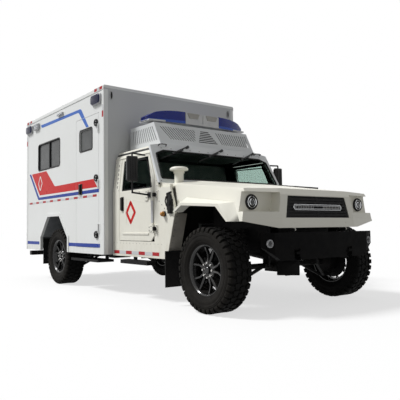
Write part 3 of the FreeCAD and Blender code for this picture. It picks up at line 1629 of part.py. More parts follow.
def side_unit(from_front, length, height, y0, y1, z, bevel):
    """Bevelled unit on the left box side, centred from_front behind the box's front corner."""
    x = box_front - from_front
    unit = block(x - length / 2, x + length / 2, y0, y1, z - height / 2, z + height / 2)
    edges = [e for e in unit.Edges if abs(e.Vertexes[0].Y - e.Vertexes[1].Y) > 1]
    return unit.makeChamfer(bevel, edges)


def make_lamps():
    """Light bar, corner beacons, work lamps, turn lamps and rear lamps."""
    lens = make_light_bar()
    z = box_top - beacon_drop
    face = box_half_width + beacon_housing_proud
    lenses = [lens]
    housings = []
    for from_front in (beacon_from_front, box_length - beacon_from_rear):
        housings.append(side_unit(from_front, beacon_length + beacon_border * 2,
                                  beacon_height + beacon_border * 2,
                                  box_half_width + seat_gap, face, z, beacon_bevel))
        lenses.append(side_unit(from_front, beacon_length, beacon_height, face + seat_gap,
                                box_half_width + beacon_lens_proud, z, beacon_bevel))
    keep("blue_lenses", both(lenses))
    keep("beacon_housings", both(housings))
    flood = side_unit(box_length - flood_from_rear, flood_length, flood_height, box_half_width + seat_gap,
                      box_half_width + flood_proud, z, beacon_bevel)
    marker = side_unit(marker_from_front, marker_length, marker_height, box_half_width + seat_gap,
                       box_half_width + marker_proud, box_top - marker_drop, marker_height / 4)
    keep("work_lamps", both([flood, marker]))
    turn = rod((turn_lamp_x, cab_half_width + seat_gap, turn_lamp_z),
               (turn_lamp_x, cab_half_width + turn_lamp_proud, turn_lamp_z), turn_lamp_radius)
    keep("turn_lamps", both([turn]))
    fog = rod((bumper_front - bumper_wall - 40, fog_y, fog_z),
              (bumper_front - bumper_wall - 4, fog_y, fog_z),
              fog_radius - seat_gap)
    rear_y = box_half_width - (rear_post_width + rear_lamp_width) / 2
    tail = block(box_rear - rear_lamp_proud, box_rear - seat_gap, rear_y, rear_y + rear_lamp_width,
                 rear_lamp_bottom,
                 rear_lamp_bottom + rear_lamp_height)
    keep("rear_lamps", both([tail]))
    keep("fog_lamps", both([fog]))


def make_cab_fittings():
    """Air intake, bonnet latches, wipers, dashboard and seats."""
    stem = rod((intake_x, intake_y, cowl_top_front_z()),
               (intake_x, intake_y, intake_top - intake_cap_height),
               intake_stem_radius)
    cap = rod((intake_x, intake_y, intake_top - intake_cap_height), (intake_x, intake_y, intake_top),
              intake_cap_radius)
    cap = cap.makeChamfer(intake_cap_height / 3, [e for e in cap.Edges if len(e.Vertexes) == 1
                                                  and e.Vertexes[0].Z > intake_top - 1])
    cowl = side_prism([(cowl_top_front, belt_z - cowl_lap), (cowl_top_front, cowl_top_z - cowl_drop),
                       (screen_base_x, cowl_top_z),
                       (screen_base_x - cowl_depth, belt_z - cowl_lap)], -cab_half_width, cab_half_width)
    keep("air_intake", fuse([stem, cap]).cut(cowl))
    latch = fuse([block(latch_x - latch_width / 2, latch_x - latch_width / 6, cab_half_width + seat_gap,
                        cab_half_width + latch_proud, latch_z - latch_height / 2,
                        latch_z + latch_height / 2),
                  block(latch_x - latch_width / 2, latch_x + latch_width / 2, cab_half_width + seat_gap,
                        cab_half_width + latch_proud, latch_z - latch_width / 2,
                        latch_z + latch_width / 2)])
    keep("latches", both([latch]))
    keep("wipers", Part.makeCompound([solid for y in wiper_pivots for solid in wiper(y).Solids]))
    floor_z = sill_bottom + cab_skin
    base = block(seat_front - seat_bottom_depth, seat_front, seat_y - seat_half_width,
                 seat_y + seat_half_width,
                 floor_z, seat_cushion_z)
    back = side_prism([(seat_front - seat_bottom_depth, floor_z),
                       (seat_front - seat_bottom_depth, seat_cushion_z),
                       (seat_front - seat_bottom_depth - seat_back_lean, seat_back_z),
                       (seat_front - seat_bottom_depth - seat_back_depth, seat_back_z),
                       (seat_front - seat_bottom_depth - seat_back_depth, floor_z)],
                      seat_y - seat_half_width, seat_y + seat_half_width)
    keep("seats", both([fuse([base, back])]))
    half = cab_half_width - cab_skin - door_thickness
    side = cab_half_width - cab_skin - seat_gap
    dash = fuse([block(dash_front - dash_depth, dash_front, -half, half, dash_bottom, dash_top),
                 block(dash_front - dash_depth / 3, dash_front, -side, side, dash_bottom, dash_top)])
    column = rod((dash_front - dash_depth + shaft_rise, seat_y - column_offset, dash_top - column_rise),
                 (dash_front - dash_depth - column_reach, seat_y - column_offset, dash_top - shaft_lap),
                 column_radius)
    keep("dashboard", fuse([dash, column, steering_wheel(dash_front - dash_depth - 170, seat_y - 40,
                                                         dash_top - 10)]))


def steering_wheel(x, y, z):
    """Steering wheel as a faceted ring with two spokes, leaning on its column."""
    ring = faceted_ring([(-wheel_rim_tube, wheel_rim_radius), (0, wheel_rim_radius + wheel_rim_tube),
                         (wheel_rim_tube, wheel_rim_radius), (0, wheel_rim_radius - wheel_rim_tube)],
                         rim_steps // 2)
    spokes = block(-wheel_rim_radius, wheel_rim_radius, -wheel_rim_tube, wheel_rim_tube / 2,
                   -wheel_rim_tube,
                   wheel_rim_tube)
    wheel = fuse([ring, spokes])
    wheel.rotate(Vector(0, 0, 0), Vector(0, 0, 1), 90)
    wheel.rotate(Vector(0, 0, 0), Vector(0, 1, 0), wheel_tilt)
    return moved(wheel, x, y, z)


def cowl_top_front_z():
    """Height of the cowl's sloping top at the front."""
    return cowl_top_z - 60


def wiper(y):
    """One wiper, lying on the glass from its pivot above it down to the vehicle's right."""
    top = screen_lip_top - wiper_pivot_drop
    low = top - wiper_drop
    foot = screen_x(top - wiper_pivot_radius) + seat_gap
    pivot = rod((foot, y, top), (foot + wiper_rise, y, top), wiper_pivot_radius)
    arm = bar((foot + wiper_rise - wiper_half, y, top), (screen_x(low) + wiper_rise, y - wiper_reach, low),
              wiper_half)
    return fuse([pivot, arm])


def make_steps_and_flaps():
    """Rear step, entry steps, mud flaps and the fuel tank."""
    gap = rear_step_gap
    rear = block(box_rear - rear_step_depth - 30, box_rear - 30, gap, rear_step_half, rear_step_bottom,
                 rear_step_bottom + rear_step_height)
    stay = block(box_rear - 30, box_rear - seat_gap, rail_y - 30, rail_y + 200, rear_step_bottom,
                 box_bottom + 90)
    rear = fuse([rear, stay])
    entry_front = side_door_front - 80
    plate = block(entry_front - entry_step_length, entry_front, -entry_step_outer, -entry_step_inner,
                  entry_step_bottom, entry_step_bottom + entry_step_thickness)
    stays = [block(x - step_stay_half, x + step_stay_half, -entry_step_inner - 90, -entry_step_inner - 50,
                   entry_step_bottom, side_door_bottom - seat_gap)
             for x in (entry_front - 80, side_door_rear + step_stay_inset)]
    cab_plate = block(cab_step_rear, cab_step_rear + cab_step_length, cab_step_inner, cab_step_outer,
                      cab_step_bottom, cab_step_bottom + cab_step_height)
    stay_x = (cab_step_rear + step_stay_inset, cab_step_rear + cab_step_length - step_stay_inset)
    cab_stays = [block(x - step_stay_half, x + step_stay_half, cab_step_inner - step_stay_far,
                       cab_step_inner - step_stay_near, cab_step_bottom, sill_bottom - seat_gap)
                 for x in stay_x]
    ties = [block(x - step_stay_half, x + step_stay_half, cab_step_inner - step_stay_far,
                  cab_step_inner + step_stay_near, cab_step_bottom, cab_step_bottom + cab_step_height)
            for x in stay_x]
    cab_step = fuse([cab_plate] + cab_stays + ties)
    keep("steps", Part.makeCompound([rear, flip(rear), fuse([plate] + stays), cab_step, flip(cab_step)]))

    def toe_x(z):
        return sill_front + (cowl_corner_x - sill_front) * (z - sill_bottom) / (cowl_corner_z - sill_bottom)

    flap_top = sill_bottom + flap_rise
    front_flap = fuse([block(flap_x, flap_x + flap_thickness, flap_inner, flap_outer, flap_bottom,
                             flap_top),
                       side_prism([(toe_x(flap_top - flap_fold) + seat_gap, flap_top - flap_fold),
                                   (toe_x(flap_top) + seat_gap,
                                                                                      flap_top),
                                   (flap_x + 1, flap_top), (flap_x + 1, flap_top - flap_fold)],
                                  flap_inner, cab_half_width - 10)])
    outrigger_face = outrigger_x()[2] + mount_half + seat_gap
    rear_flap = block(outrigger_face, outrigger_face + flap_thickness, flap_inner, flap_outer,
                      rear_flap_bottom,
                      rail_top)
    keep("mud_flaps", both([front_flap, rear_flap]))
    tank_front = box_front - tank_gap
    tank = block(tank_front - tank_length, tank_front, rail_outer + tank_stand,
                 rail_outer + tank_stand + tank_width,
                 tank_bottom,
                 rail_bottom + 60 - seat_gap)
    tank = tank.makeChamfer(tank_edge,
                            [e for e in tank.Edges if abs(e.Vertexes[0].X - e.Vertexes[1].X) > 1])
    keep("fuel_tank", tank)


def main():
    """Build every piece, move it to the origin of the files and write it."""
    make_wheels()
    make_knuckles()
    make_suspension()
    make_frame()
    make_driveline()
    make_cab()
    make_cab_fittings()
    make_bonnet()
    make_bumper()
    make_box()
    make_side_door()
    make_rear_doors()
    make_shroud()
    make_lamps()
    make_steps_and_flaps()
    os.makedirs("parts", exist_ok=True)
    for name, shape in parts.items():
        shape.translate(Vector(datum_to_origin, 0, 0))
        shape.exportStep("parts/%s.step" % name)
        print(name, len(shape.Solids), shape.isValid(), round(shape.Volume / 1e6, 2))


main()
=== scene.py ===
import math

import bpy
from mathutils import Matrix, Vector


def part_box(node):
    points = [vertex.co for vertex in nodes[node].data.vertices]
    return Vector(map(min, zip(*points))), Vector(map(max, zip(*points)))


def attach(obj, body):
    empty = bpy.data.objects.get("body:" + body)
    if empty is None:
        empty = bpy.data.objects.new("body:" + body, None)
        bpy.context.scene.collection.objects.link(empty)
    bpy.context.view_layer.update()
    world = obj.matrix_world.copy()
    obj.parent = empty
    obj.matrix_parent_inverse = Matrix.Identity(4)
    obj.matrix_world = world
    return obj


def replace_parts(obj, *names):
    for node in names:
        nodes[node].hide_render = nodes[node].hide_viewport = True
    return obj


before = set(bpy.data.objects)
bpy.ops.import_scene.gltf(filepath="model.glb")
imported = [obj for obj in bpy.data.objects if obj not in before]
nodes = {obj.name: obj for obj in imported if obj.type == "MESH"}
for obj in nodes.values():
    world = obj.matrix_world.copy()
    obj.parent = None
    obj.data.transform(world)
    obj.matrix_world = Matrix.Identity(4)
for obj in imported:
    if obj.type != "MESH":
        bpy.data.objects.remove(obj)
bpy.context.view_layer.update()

# Places are measured from the ground under the front axle; the frame's origin is further back
truck = {"axleToOrigin": 2.4375, "wheelbase": 3.990, "trackHalf": 1.030, "axleHeight": 0.460, "boxSide": 1.211,
         "boxFront": -2.200, "boxRear": -5.420, "boxBottom": 0.550, "cabSide": 1.080, "belt": 1.410,
         "roomLean": 0.1146, "screenBase": -0.985, "screenBaseZ": 1.475, "screenLean": 0.543}
# Bodies that a piece and its mirrored copy ride on
hull = ("chassis", "chassis")
cabDoors = ("cab_door_right", "cab_door_left")
rearDoors = ("rear_door_right", "rear_door_left")
# How far films, fittings and plates stand off the skin under them, and how near corners merge
filmGap, skinGap, plateGap = 0.0002, 0.0003, 0.0004
mergeGap, weldGap = 0.00002, 0.00005


def onTruck(x, y, z):
    return Vector((x + truck["axleToOrigin"], y, z))


# Modelling helpers

def deselectAll():
    if bpy.context.mode != "OBJECT":
        bpy.ops.object.mode_set(mode="OBJECT")
    bpy.ops.object.select_all(action="DESELECT")


def useOnly(piece):
    deselectAll()
    piece.select_set(True)
    bpy.context.view_layer.objects.active = piece


def takeName(name):
    piece = bpy.context.active_object
    piece.name = name
    piece.data.name = name
    return piece


def placeInMesh(piece):
    useOnly(piece)
    bpy.ops.object.transform_apply(location=True, rotation=True, scale=True)
    return piece


def backToObject():
    bpy.ops.object.mode_set(mode="OBJECT")


def editAll(piece):
    useOnly(piece)
    bpy.ops.object.mode_set(mode="EDIT")
    bpy.ops.mesh.select_all(action="SELECT")


def mendNormals(piece):
    editAll(piece)
    bpy.ops.mesh.select_mode(type="FACE")
    bpy.ops.mesh.remove_doubles(threshold=mergeGap)
    bpy.ops.mesh.normals_make_consistent(inside=False)
    backToObject()
    return piece


def softenEdges(piece, width, steps=2, angle=40):
    useOnly(piece)
    bevel = piece.modifiers.new("edge", "BEVEL")
    bevel.width = width
    bevel.segments = steps
    bevel.limit_method = "ANGLE"
    bevel.angle_limit = math.radians(angle)
    bpy.ops.object.modifier_apply(modifier=bevel.name)
    return piece


def smoothByAngle(piece, angle=35):
    useOnly(piece)
    bpy.ops.object.shade_smooth_by_angle(angle=math.radians(angle))
    return piece


# A circle whose corners are moved to their places: a flat face, or an open outline when it isn't filled
def cornerLoop(name, corners, fill="NGON"):
    deselectAll()
    bpy.ops.mesh.primitive_circle_add(vertices=len(corners), radius=1, fill_type=fill)
    piece = takeName(name)
    for vertex, corner in zip(piece.data.vertices, corners):
        vertex.co = corner
    return piece


# The selected face is given thickness along depth
def thicken(piece, depth):
    bpy.ops.mesh.extrude_region_move(TRANSFORM_OT_translate={"value": depth})
    backToObject()
    return mendNormals(piece)


# A flat outline of corners with thickness
def outlinePiece(name, corners, depth):
    piece = cornerLoop(name, corners)
    editAll(piece)
    return thicken(piece, depth)


# A flat frame: the outline inset by width, and its middle taken out
def ringPlate(name, corners, width, depth):
    piece = cornerLoop(name, corners)
    piece.data.update()
    editAll(piece)
    bpy.ops.mesh.select_mode(type="FACE")
    bpy.ops.mesh.inset(thickness=width, use_even_offset=True)
    bpy.ops.mesh.delete(type="FACE")
    bpy.ops.mesh.select_all(action="SELECT")
    return thicken(piece, depth)


# Flat plates on the truck's sides (x, z), fronts (y, z) and tops (x, y)
def sidePlate(name, outline, face, depth):
    return outlinePiece(name, [onTruck(x, face, z) for x, z in outline], Vector((0, depth, 0)))


def frontPlate(name, outline, face, depth):
    return outlinePiece(name, [onTruck(face, y, z) for y, z in outline], Vector((depth, 0, 0)))


def topPlate(name, outline, face, depth):
    return outlinePiece(name, [onTruck(x, y, face) for x, y in outline], Vector((0, 0, depth)))


# Corners of a flat outline with each turn rounded; radius is one number or one for each corner
def roundTurns(points, radius, steps=4):
    radii = radius if isinstance(radius, (list, tuple)) else [radius] * len(points)
    rounded = []
    for index, corner in enumerate(points):
        here = Vector(corner)
        if not radii[index]:
            rounded.append(here)
            continue
        before = (Vector(points[index - 1]) - here).normalized()
        after = (Vector(points[(index + 1) % len(points)]) - here).normalized()
        run = radii[index] / math.tan(before.angle(after) / 2)
        for step in range(steps + 1):
            part = step / steps
            rounded.append(here + before * run * (1 - part) ** 2 + after * run * part ** 2)
    return rounded


def rectangle(low, high):
    return [(low[0], low[1]), (high[0], low[1]), (high[0], high[1]), (low[0], high[1])]


# A closed outline of (radius, along) pairs turned round an axis through centre
def spinPiece(name, profile, centre, steps, axis="Y"):
    along = {"X": Vector((1, 0, 0)), "Y": Vector((0, 1, 0)), "Z": Vector((0, 0, 1))}[axis]
    out = Vector((1, 0, 0)) if axis == "Z" else Vector((0, 0, 1))
    piece = cornerLoop(name, [centre + along * reach + out * radius for radius, reach in profile], "NOTHING")
    editAll(piece)
    bpy.ops.mesh.spin(steps=steps, angle=2 * math.pi, center=centre, axis=along)
    backToObject()
    return mendNormals(piece)


def blockPiece(name, low, high, edge=0.0, steps=2):
    middle = (Vector(low) + Vector(high)) / 2
    size = [b - a for a, b in zip(low, high)]
    deselectAll()
    bpy.ops.mesh.primitive_cube_add(size=1, location=middle, scale=size)
    piece = placeInMesh(takeName(name))
    if edge:
        softenEdges(piece, edge, steps)
    return piece


# A round disc whose axis runs along direction from centre
def discPiece(name, centre, direction, radius, depth, sides=32, edge=0.0):
    turn = Vector((0, 0, 1)).rotation_difference(Vector(direction)).to_euler()
    deselectAll()
    bpy.ops.mesh.primitive_cylinder_add(vertices=sides, radius=radius, depth=depth,
                                        location=Vector(centre) + Vector(direction).normalized() * depth / 2,
                                        rotation=turn)
    piece = placeInMesh(takeName(name))
    if edge:
        softenEdges(piece, edge)
    return piece


# A block between two places on the truck
def truckBlock(name, low, high, edge=0.0, steps=2):
    return blockPiece(name, onTruck(*low), onTruck(*high), edge, steps)


# A disc on the truck's right side, its axis outward
def sideDisc(name, x, face, z, *size):
    return discPiece(name, onTruck(x, face, z), (0, -1, 0), *size)


def rodPiece(name, start, end, radius, sides=16, edge=0.0):
    return discPiece(name, start, Vector(end) - Vector(start), radius, (Vector(end) - Vector(start)).length,
                     sides, edge)


# A bent tube through points, made as a curve and then a mesh
def tubePiece(name, points, radius, turns=4):
    deselectAll()
    bpy.ops.curve.primitive_nurbs_path_add()
    tube = bpy.context.active_object
    tube.data.splines.clear()
    spline = tube.data.splines.new("POLY")
    spline.points.add(len(points) - 1)
    for place, point in zip(spline.points, points):
        place.co = (*point, 1)
    tube.data.bevel_depth = radius
    tube.data.bevel_resolution = turns
    tube.data.use_fill_caps = True
    bpy.ops.object.convert(target="MESH")
    return smoothByAngle(placeInMesh(takeName(name)), 50)


def joinPieces(name, parts):
    deselectAll()
    for part in parts:
        part.select_set(True)
    bpy.context.view_layer.objects.active = parts[0]
    if len(parts) > 1:
        bpy.ops.object.join()
    return takeName(name)


def duplicate(piece, name):
    useOnly(piece)
    bpy.ops.object.duplicate(linked=False)
    return takeName(name)


# A copy with its own mesh, turned about an upright line and moved
def copyPiece(piece, name, shift=(0, 0, 0), turn=0.0, about=(0, 0, 0)):
    copy = duplicate(piece, name)
    move = Matrix.Translation(Vector(shift)) @ Matrix.Translation(Vector(about))
    copy.matrix_world = move @ Matrix.Rotation(turn, 4, Vector((0, 0, 1))) @ Matrix.Translation(-Vector(about))
    return placeInMesh(copy)


# A mirrored copy on the truck's left side
def otherSide(piece, name):
    copy = duplicate(piece, name)
    copy.scale = (1, -1, 1)
    editAll(placeInMesh(copy))
    bpy.ops.mesh.normals_make_consistent(inside=False)
    backToObject()
    return copy


def discard(pieces):
    deselectAll()
    for piece in pieces:
        piece.select_set(True)
    bpy.ops.object.delete()


# Cuts away all of a piece outside the box between low and high, in truck places
def keepInside(piece, low, high):
    editAll(piece)
    for corner, sign in ((onTruck(*low), -1), (onTruck(*high), 1)):
        for axis in range(3):
            normal = [0, 0, 0]
            normal[axis] = sign
            bpy.ops.mesh.select_all(action="SELECT")
            bpy.ops.mesh.bisect(plane_co=corner, plane_no=normal, use_fill=True, clear_outer=True)
    backToObject()
    return piece


def paint(piece, material):
    piece.data.materials.clear()
    piece.data.materials.append(material)
    return piece


def mount(piece, body):
    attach(piece, body)
    return piece


def dress(piece, material, body):
    return mount(paint(piece, material), body)


# The same piece on both sides of the truck
def dressBoth(piece, material, bodies):
    left = otherSide(piece, piece.name + "Left")
    dress(piece, material, bodies[0])
    dress(left, material, bodies[1])
    return [piece, left]


# Materials: the roughness of all noise, and the painted shade on skins seen from inside a room, a near black that
# stands in for the shade in there
noiseRough = 0.55
roomShadeTone = (0.012, 0.012, 0.012)


def newMaterial(name):
    material = bpy.data.materials.new(name)
    material.use_nodes = True
    tree = material.node_tree
    tree.nodes.clear()
    output = tree.nodes.new("ShaderNodeOutputMaterial")
    shader = tree.nodes.new("ShaderNodeBsdfPrincipled")
    tree.links.new(shader.outputs["BSDF"], output.inputs["Surface"])
    return material, tree, shader


# Fields for a surface's colour and roughness, and how strongly it reflects
def setSurface(tree, shader, colour, rough, shine=0.5):
    tree.links.new(colour, shader.inputs["Base Color"])
    tree.links.new(rough, shader.inputs["Roughness"])
    shader.inputs["Specular IOR Level"].default_value = shine


def objectPlace(tree, stretch=(1, 1, 1)):
    coordinate = tree.nodes.new("ShaderNodeTexCoord")
    mapping = tree.nodes.new("ShaderNodeMapping")
    mapping.inputs["Scale"].default_value = stretch
    tree.links.new(coordinate.outputs["Object"], mapping.inputs["Vector"])
    return mapping.outputs["Vector"]


def noiseField(tree, scale, detail=4, stretch=(1, 1, 1)):
    noise = tree.nodes.new("ShaderNodeTexNoise")
    noise.inputs["Scale"].default_value = scale
    noise.inputs["Detail"].default_value = detail
    noise.inputs["Roughness"].default_value = noiseRough
    tree.links.new(objectPlace(tree, stretch), noise.inputs["Vector"])
    return noise.outputs["Fac"]


def rampField(tree, field, low, high, bottom=0.0, top=1.0):
    span = tree.nodes.new("ShaderNodeMapRange")
    span.inputs["From Min"].default_value = low
    span.inputs["From Max"].default_value = high
    span.inputs["To Min"].default_value = bottom
    span.inputs["To Max"].default_value = top
    tree.links.new(field, span.inputs["Value"])
    return span.outputs["Result"]


def combineFields(tree, first, second, way="MULTIPLY"):
    node = tree.nodes.new("ShaderNodeMath")
    node.operation = way
    tree.links.new(first, node.inputs[0])
    if isinstance(second, (int, float)):
        node.inputs[1].default_value = second
    else:
        tree.links.new(second, node.inputs[1])
    return node.outputs["Value"]


def mixColours(tree, field, first, second):
    mix = tree.nodes.new("ShaderNodeMix")
    mix.data_type = "RGBA"
    tree.links.new(field, mix.inputs["Factor"])
    for socket, colour in (("A", first), ("B", second)):
        target = [s for s in mix.inputs if s.name == socket and s.type == "RGBA"][0]
        if isinstance(colour, (tuple, list)):
            target.default_value = (*colour, 1)
        else:
            tree.links.new(colour, target)
    return [s for s in mix.outputs if s.type == "RGBA"][0]


# Object place along one axis: 0 is x, 1 is y and 2 is height
def placeField(tree, part):
    split = tree.nodes.new("ShaderNodeSeparateXYZ")
    tree.links.new(objectPlace(tree), split.inputs["Vector"])
    return split.outputs[part]


# 1 on a share of each pitch along one axis, and 0 between
def bandField(tree, part, start, pitch, share):
    turns = combineFields(tree, combineFields(tree, placeField(tree, part), -start, "ADD"), 1 / pitch)
    return combineFields(tree, combineFields(tree, turns, 0.0, "FRACT"), share, "LESS_THAN")


def addBump(tree, shader, field, strength, depth):
    bump = tree.nodes.new("ShaderNodeBump")
    bump.inputs["Strength"].default_value = strength
    bump.inputs["Distance"].default_value = depth
    tree.links.new(field, bump.inputs["Height"])
    tree.links.new(bump.outputs["Normal"], shader.inputs["Normal"])


# 1 inside a room that runs between two places along x, under a height, and leans in above the cab's belt: where the
# painted shade goes
def roomShadeMask(tree, room):
    above = combineFields(tree, combineFields(tree, placeField(tree, 2), truck["belt"], "SUBTRACT"), 0.0, "MAXIMUM")
    side = combineFields(tree, placeField(tree, 1), 0.0, "ABSOLUTE")
    side = combineFields(tree, side, combineFields(tree, above, truck["roomLean"]), "ADD")
    inside = combineFields(tree, side, room["half"], "LESS_THAN")
    inside = combineFields(tree, inside, combineFields(tree, placeField(tree, 2), room["top"], "LESS_THAN"))
    for end, way in (("back", "GREATER_THAN"), ("front", "LESS_THAN")):
        place = room[end] + truck["axleToOrigin"]
        inside = combineFields(tree, inside, combineFields(tree, placeField(tree, 0), place, way))
    return inside


# Sprayed paint, dusty low down; each shaded room is a place behind the skin, where the paint is darkened to near black
# as painted shade
def paintFinish(name, clean, dusty, roughLow, roughHigh, coat=0.12, dustTop=1.2, shadedRooms=()):
    material, tree, shader = newMaterial(name)
    tone = rampField(tree, noiseField(tree, 1.6, 3), 0.35, 0.7)
    low = rampField(tree, placeField(tree, 2), dustTop, 0.35)
    specks = rampField(tree, noiseField(tree, 14, 8, (1, 1, 0.45)), 0.42, 0.68)
    dust = combineFields(tree, combineFields(tree, low, specks), 0.5)
    shade = mixColours(tree, combineFields(tree, tone, 0.08), clean, dusty)
    colour = mixColours(tree, dust, shade, dusty)
    # Painted shade: inside each shaded room the colour turns near black
    for room in shadedRooms:
        colour = mixColours(tree, roomShadeMask(tree, room), colour, roomShadeTone)
    smear = rampField(tree, noiseField(tree, 5, 6, (1, 1, 0.3)), 0.3, 0.7, roughLow, roughHigh)
    setSurface(tree, shader, colour, smear, 0.3)
    shader.inputs["Coat Weight"].default_value = coat
    shader.inputs["Coat Roughness"].default_value = 0.18
    addBump(tree, shader, noiseField(tree, 900, 2), 0.06, 0.0006)
    return material


# Moulded plastic, rubber or coated steel: grain in the surface, paler where dust holds
def mouldedFinish(name, dark, light, rough, grain=1100, depth=0.5, metal=0.0, shine=0.5):
    material, tree, shader = newMaterial(name)
    colour = mixColours(tree, rampField(tree, noiseField(tree, 7, 7), 0.4, 0.75), dark, light)
    smear = rampField(tree, noiseField(tree, 16, 5), 0.3, 0.75, rough - 0.08, rough + 0.1)
    setSurface(tree, shader, colour, smear, shine)
    shader.inputs["Metallic"].default_value = metal
    addBump(tree, shader, noiseField(tree, grain, 3), depth, 0.0008)
    return material


# Tyre rubber: brown road dust on the sidewalls, cleaner and darker where the tread meets the road
def tyreFinish(name, clean, dusty):
    material, tree, shader = newMaterial(name)
    sidewall = rampField(tree, combineFields(tree, placeField(tree, 1), 0.0, "ABSOLUTE"), 1.135, 1.165)
    blotch = rampField(tree, noiseField(tree, 9, 7), 0.3, 0.72, 0.35, 1.0)
    colour = mixColours(tree, combineFields(tree, sidewall, blotch), clean, dusty)
    setSurface(tree, shader, colour, rampField(tree, noiseField(tree, 16, 5), 0.3, 0.75, 0.66, 0.86), 0.07)
    addBump(tree, shader, noiseField(tree, 650, 3), 0.5, 0.0008)
    return material


def metalFinish(name, colour, worn, rough):
    material, tree, shader = newMaterial(name)
    brushed = noiseField(tree, 60, 4, (1, 1, 9))
    setSurface(tree, shader, mixColours(tree, rampField(tree, brushed, 0.4, 0.7), colour, worn),
               rampField(tree, brushed, 0.3, 0.75, rough - 0.06, rough + 0.1))
    shader.inputs["Metallic"].default_value = 1.0
    addBump(tree, shader, brushed, 0.08, 0.0005)
    return material


# Glass with a faint uneven dust film, and fine upright heating wires where their tone is given
def glassFinish(name, tint, seeThrough, rough=0.04, film=0.07, bend=1.45, wire=None):
    material, tree, shader = newMaterial(name)
    haze = rampField(tree, noiseField(tree, 3, 6), 0.45, 0.8)
    colour = mixColours(tree, haze, tint, tuple(min(1, tone + film) for tone in tint))
    if wire:
        colour = mixColours(tree, bandField(tree, 1, 0.0, 0.016, 0.16), colour, wire)
    setSurface(tree, shader, colour, rampField(tree, noiseField(tree, 9, 5), 0.3, 0.8, rough, rough + 0.06))
    shader.inputs["Transmission Weight"].default_value = seeThrough
    shader.inputs["IOR"].default_value = bend
    addBump(tree, shader, noiseField(tree, 2.2, 2), 0.03, 0.002)
    return material


# Coloured lamp lens with moulded ribs under a smooth face
def lensFinish(name, colour, deep, ribs, way="Y"):
    material, tree, shader = newMaterial(name)
    wave = tree.nodes.new("ShaderNodeTexWave")
    wave.wave_type = "BANDS"
    wave.bands_direction = way
    wave.inputs["Scale"].default_value = ribs
    tree.links.new(objectPlace(tree), wave.inputs["Vector"])
    lines = rampField(tree, wave.outputs["Fac"], 0.2, 0.9)
    smear = rampField(tree, noiseField(tree, 20, 4), 0.3, 0.8, 0.05, 0.16)
    setSurface(tree, shader, mixColours(tree, lines, deep, colour), smear, 0.22)
    addBump(tree, shader, wave.outputs["Fac"], 0.25, 0.002)
    return material


# Vinyl film: even colour, a faint weave of tiny lines and a little dirt
def filmFinish(name, colour, dirt, rough=0.32):
    material, tree, shader = newMaterial(name)
    stain = combineFields(tree, rampField(tree, noiseField(tree, 6, 7), 0.45, 0.8), 0.35)
    smear = rampField(tree, noiseField(tree, 11, 4), 0.3, 0.8, rough - 0.06, rough + 0.1)
    setSurface(tree, shader, mixColours(tree, stain, colour, dirt), smear, 0.12)
    addBump(tree, shader, noiseField(tree, 1500, 2), 0.05, 0.0003)
    return material


# Retroreflective tape: small cells in both colours, red and silver in turn along x
def tapeFinish(name, start, pitch, share):
    material, tree, shader = newMaterial(name)
    cells = tree.nodes.new("ShaderNodeTexVoronoi")
    cells.feature = "DISTANCE_TO_EDGE"
    cells.inputs["Scale"].default_value = 170
    tree.links.new(objectPlace(tree), cells.inputs["Vector"])
    net = rampField(tree, cells.outputs["Distance"], 0.0, 0.12)
    red = mixColours(tree, net, (0.30, 0.012, 0.016), (0.46, 0.016, 0.022))
    silver = mixColours(tree, net, (0.46, 0.47, 0.48), (0.66, 0.67, 0.68))
    bands = mixColours(tree, bandField(tree, 0, start, pitch, share), silver, red)
    setSurface(tree, shader, bands, rampField(tree, net, 0, 1, 0.42, 0.26), 0.15)
    addBump(tree, shader, net, 0.12, 0.0005)
    return material


# Places whose inner faces get painted shade: the cab, and the bay under the bonnet
cabShadedRooms = ({"back": -2.180, "front": -1.020, "half": 1.066, "top": 1.960},
            {"back": -0.975, "front": 0.900, "half": 1.045, "top": 1.200})
bonnetShadedRooms = ({"back": -1.200, "front": 0.410, "half": 1.016, "top": 1.218},)
cabPaint = paintFinish("cabPaint", (0.80, 0.785, 0.70), (0.60, 0.57, 0.47), 0.30, 0.46, 0.12, 1.2, cabShadedRooms)
bonnetPaint = paintFinish("bonnetPaint", (0.80, 0.785, 0.70), (0.60, 0.57, 0.47), 0.34, 0.5, 0.1, 0.7, bonnetShadedRooms)
boxPaint = paintFinish("boxPaint", (0.78, 0.795, 0.785), (0.60, 0.59, 0.53), 0.28, 0.44, 0.12, 0.9)
# The box front wall, the windscreen frame and the roof shroud are white paint like the box; their grey is painted shade
# for the faces turned forward, and the dusty tone is dust
frontWallShadePaint = paintFinish("frontWallShadePaint", (0.55, 0.56, 0.565), (0.50, 0.49, 0.46), 0.34, 0.5)
shroudShadePaint = paintFinish("shroudShadePaint", (0.66, 0.68, 0.69), (0.55, 0.55, 0.53), 0.34, 0.5)
chassisCoat = mouldedFinish("chassisCoat", (0.004, 0.004, 0.0045), (0.013, 0.012, 0.011), 0.6, 500, 0.35, 0.0, 0.12)
trimPlastic = mouldedFinish("trimPlastic", (0.006, 0.006, 0.0065), (0.014, 0.0135, 0.013), 0.48, 1100, 0.5, 0.0, 0.22)
cabLining = mouldedFinish("cabLining", (0.13, 0.14, 0.135), (0.19, 0.19, 0.18), 0.8, 700, 0.4, 0.0, 0.1)
bumperCoat = mouldedFinish("bumperCoat", (0.0014, 0.0014, 0.0016), (0.004, 0.0038, 0.0035), 0.55, 700, 0.5, 0.0, 0.03)
treadRubber = tyreFinish("treadRubber", (0.0060, 0.0058, 0.0056), (0.0170, 0.0155, 0.0135))
sealRubber = mouldedFinish("sealRubber", (0.005, 0.005, 0.005), (0.014, 0.0135, 0.013), 0.62, 1100, 0.5, 0.0, 0.15)
rimGloss = paintFinish("rimGloss", (0.006, 0.006, 0.0065), (0.03, 0.0275, 0.024), 0.12, 0.28, 0.25)
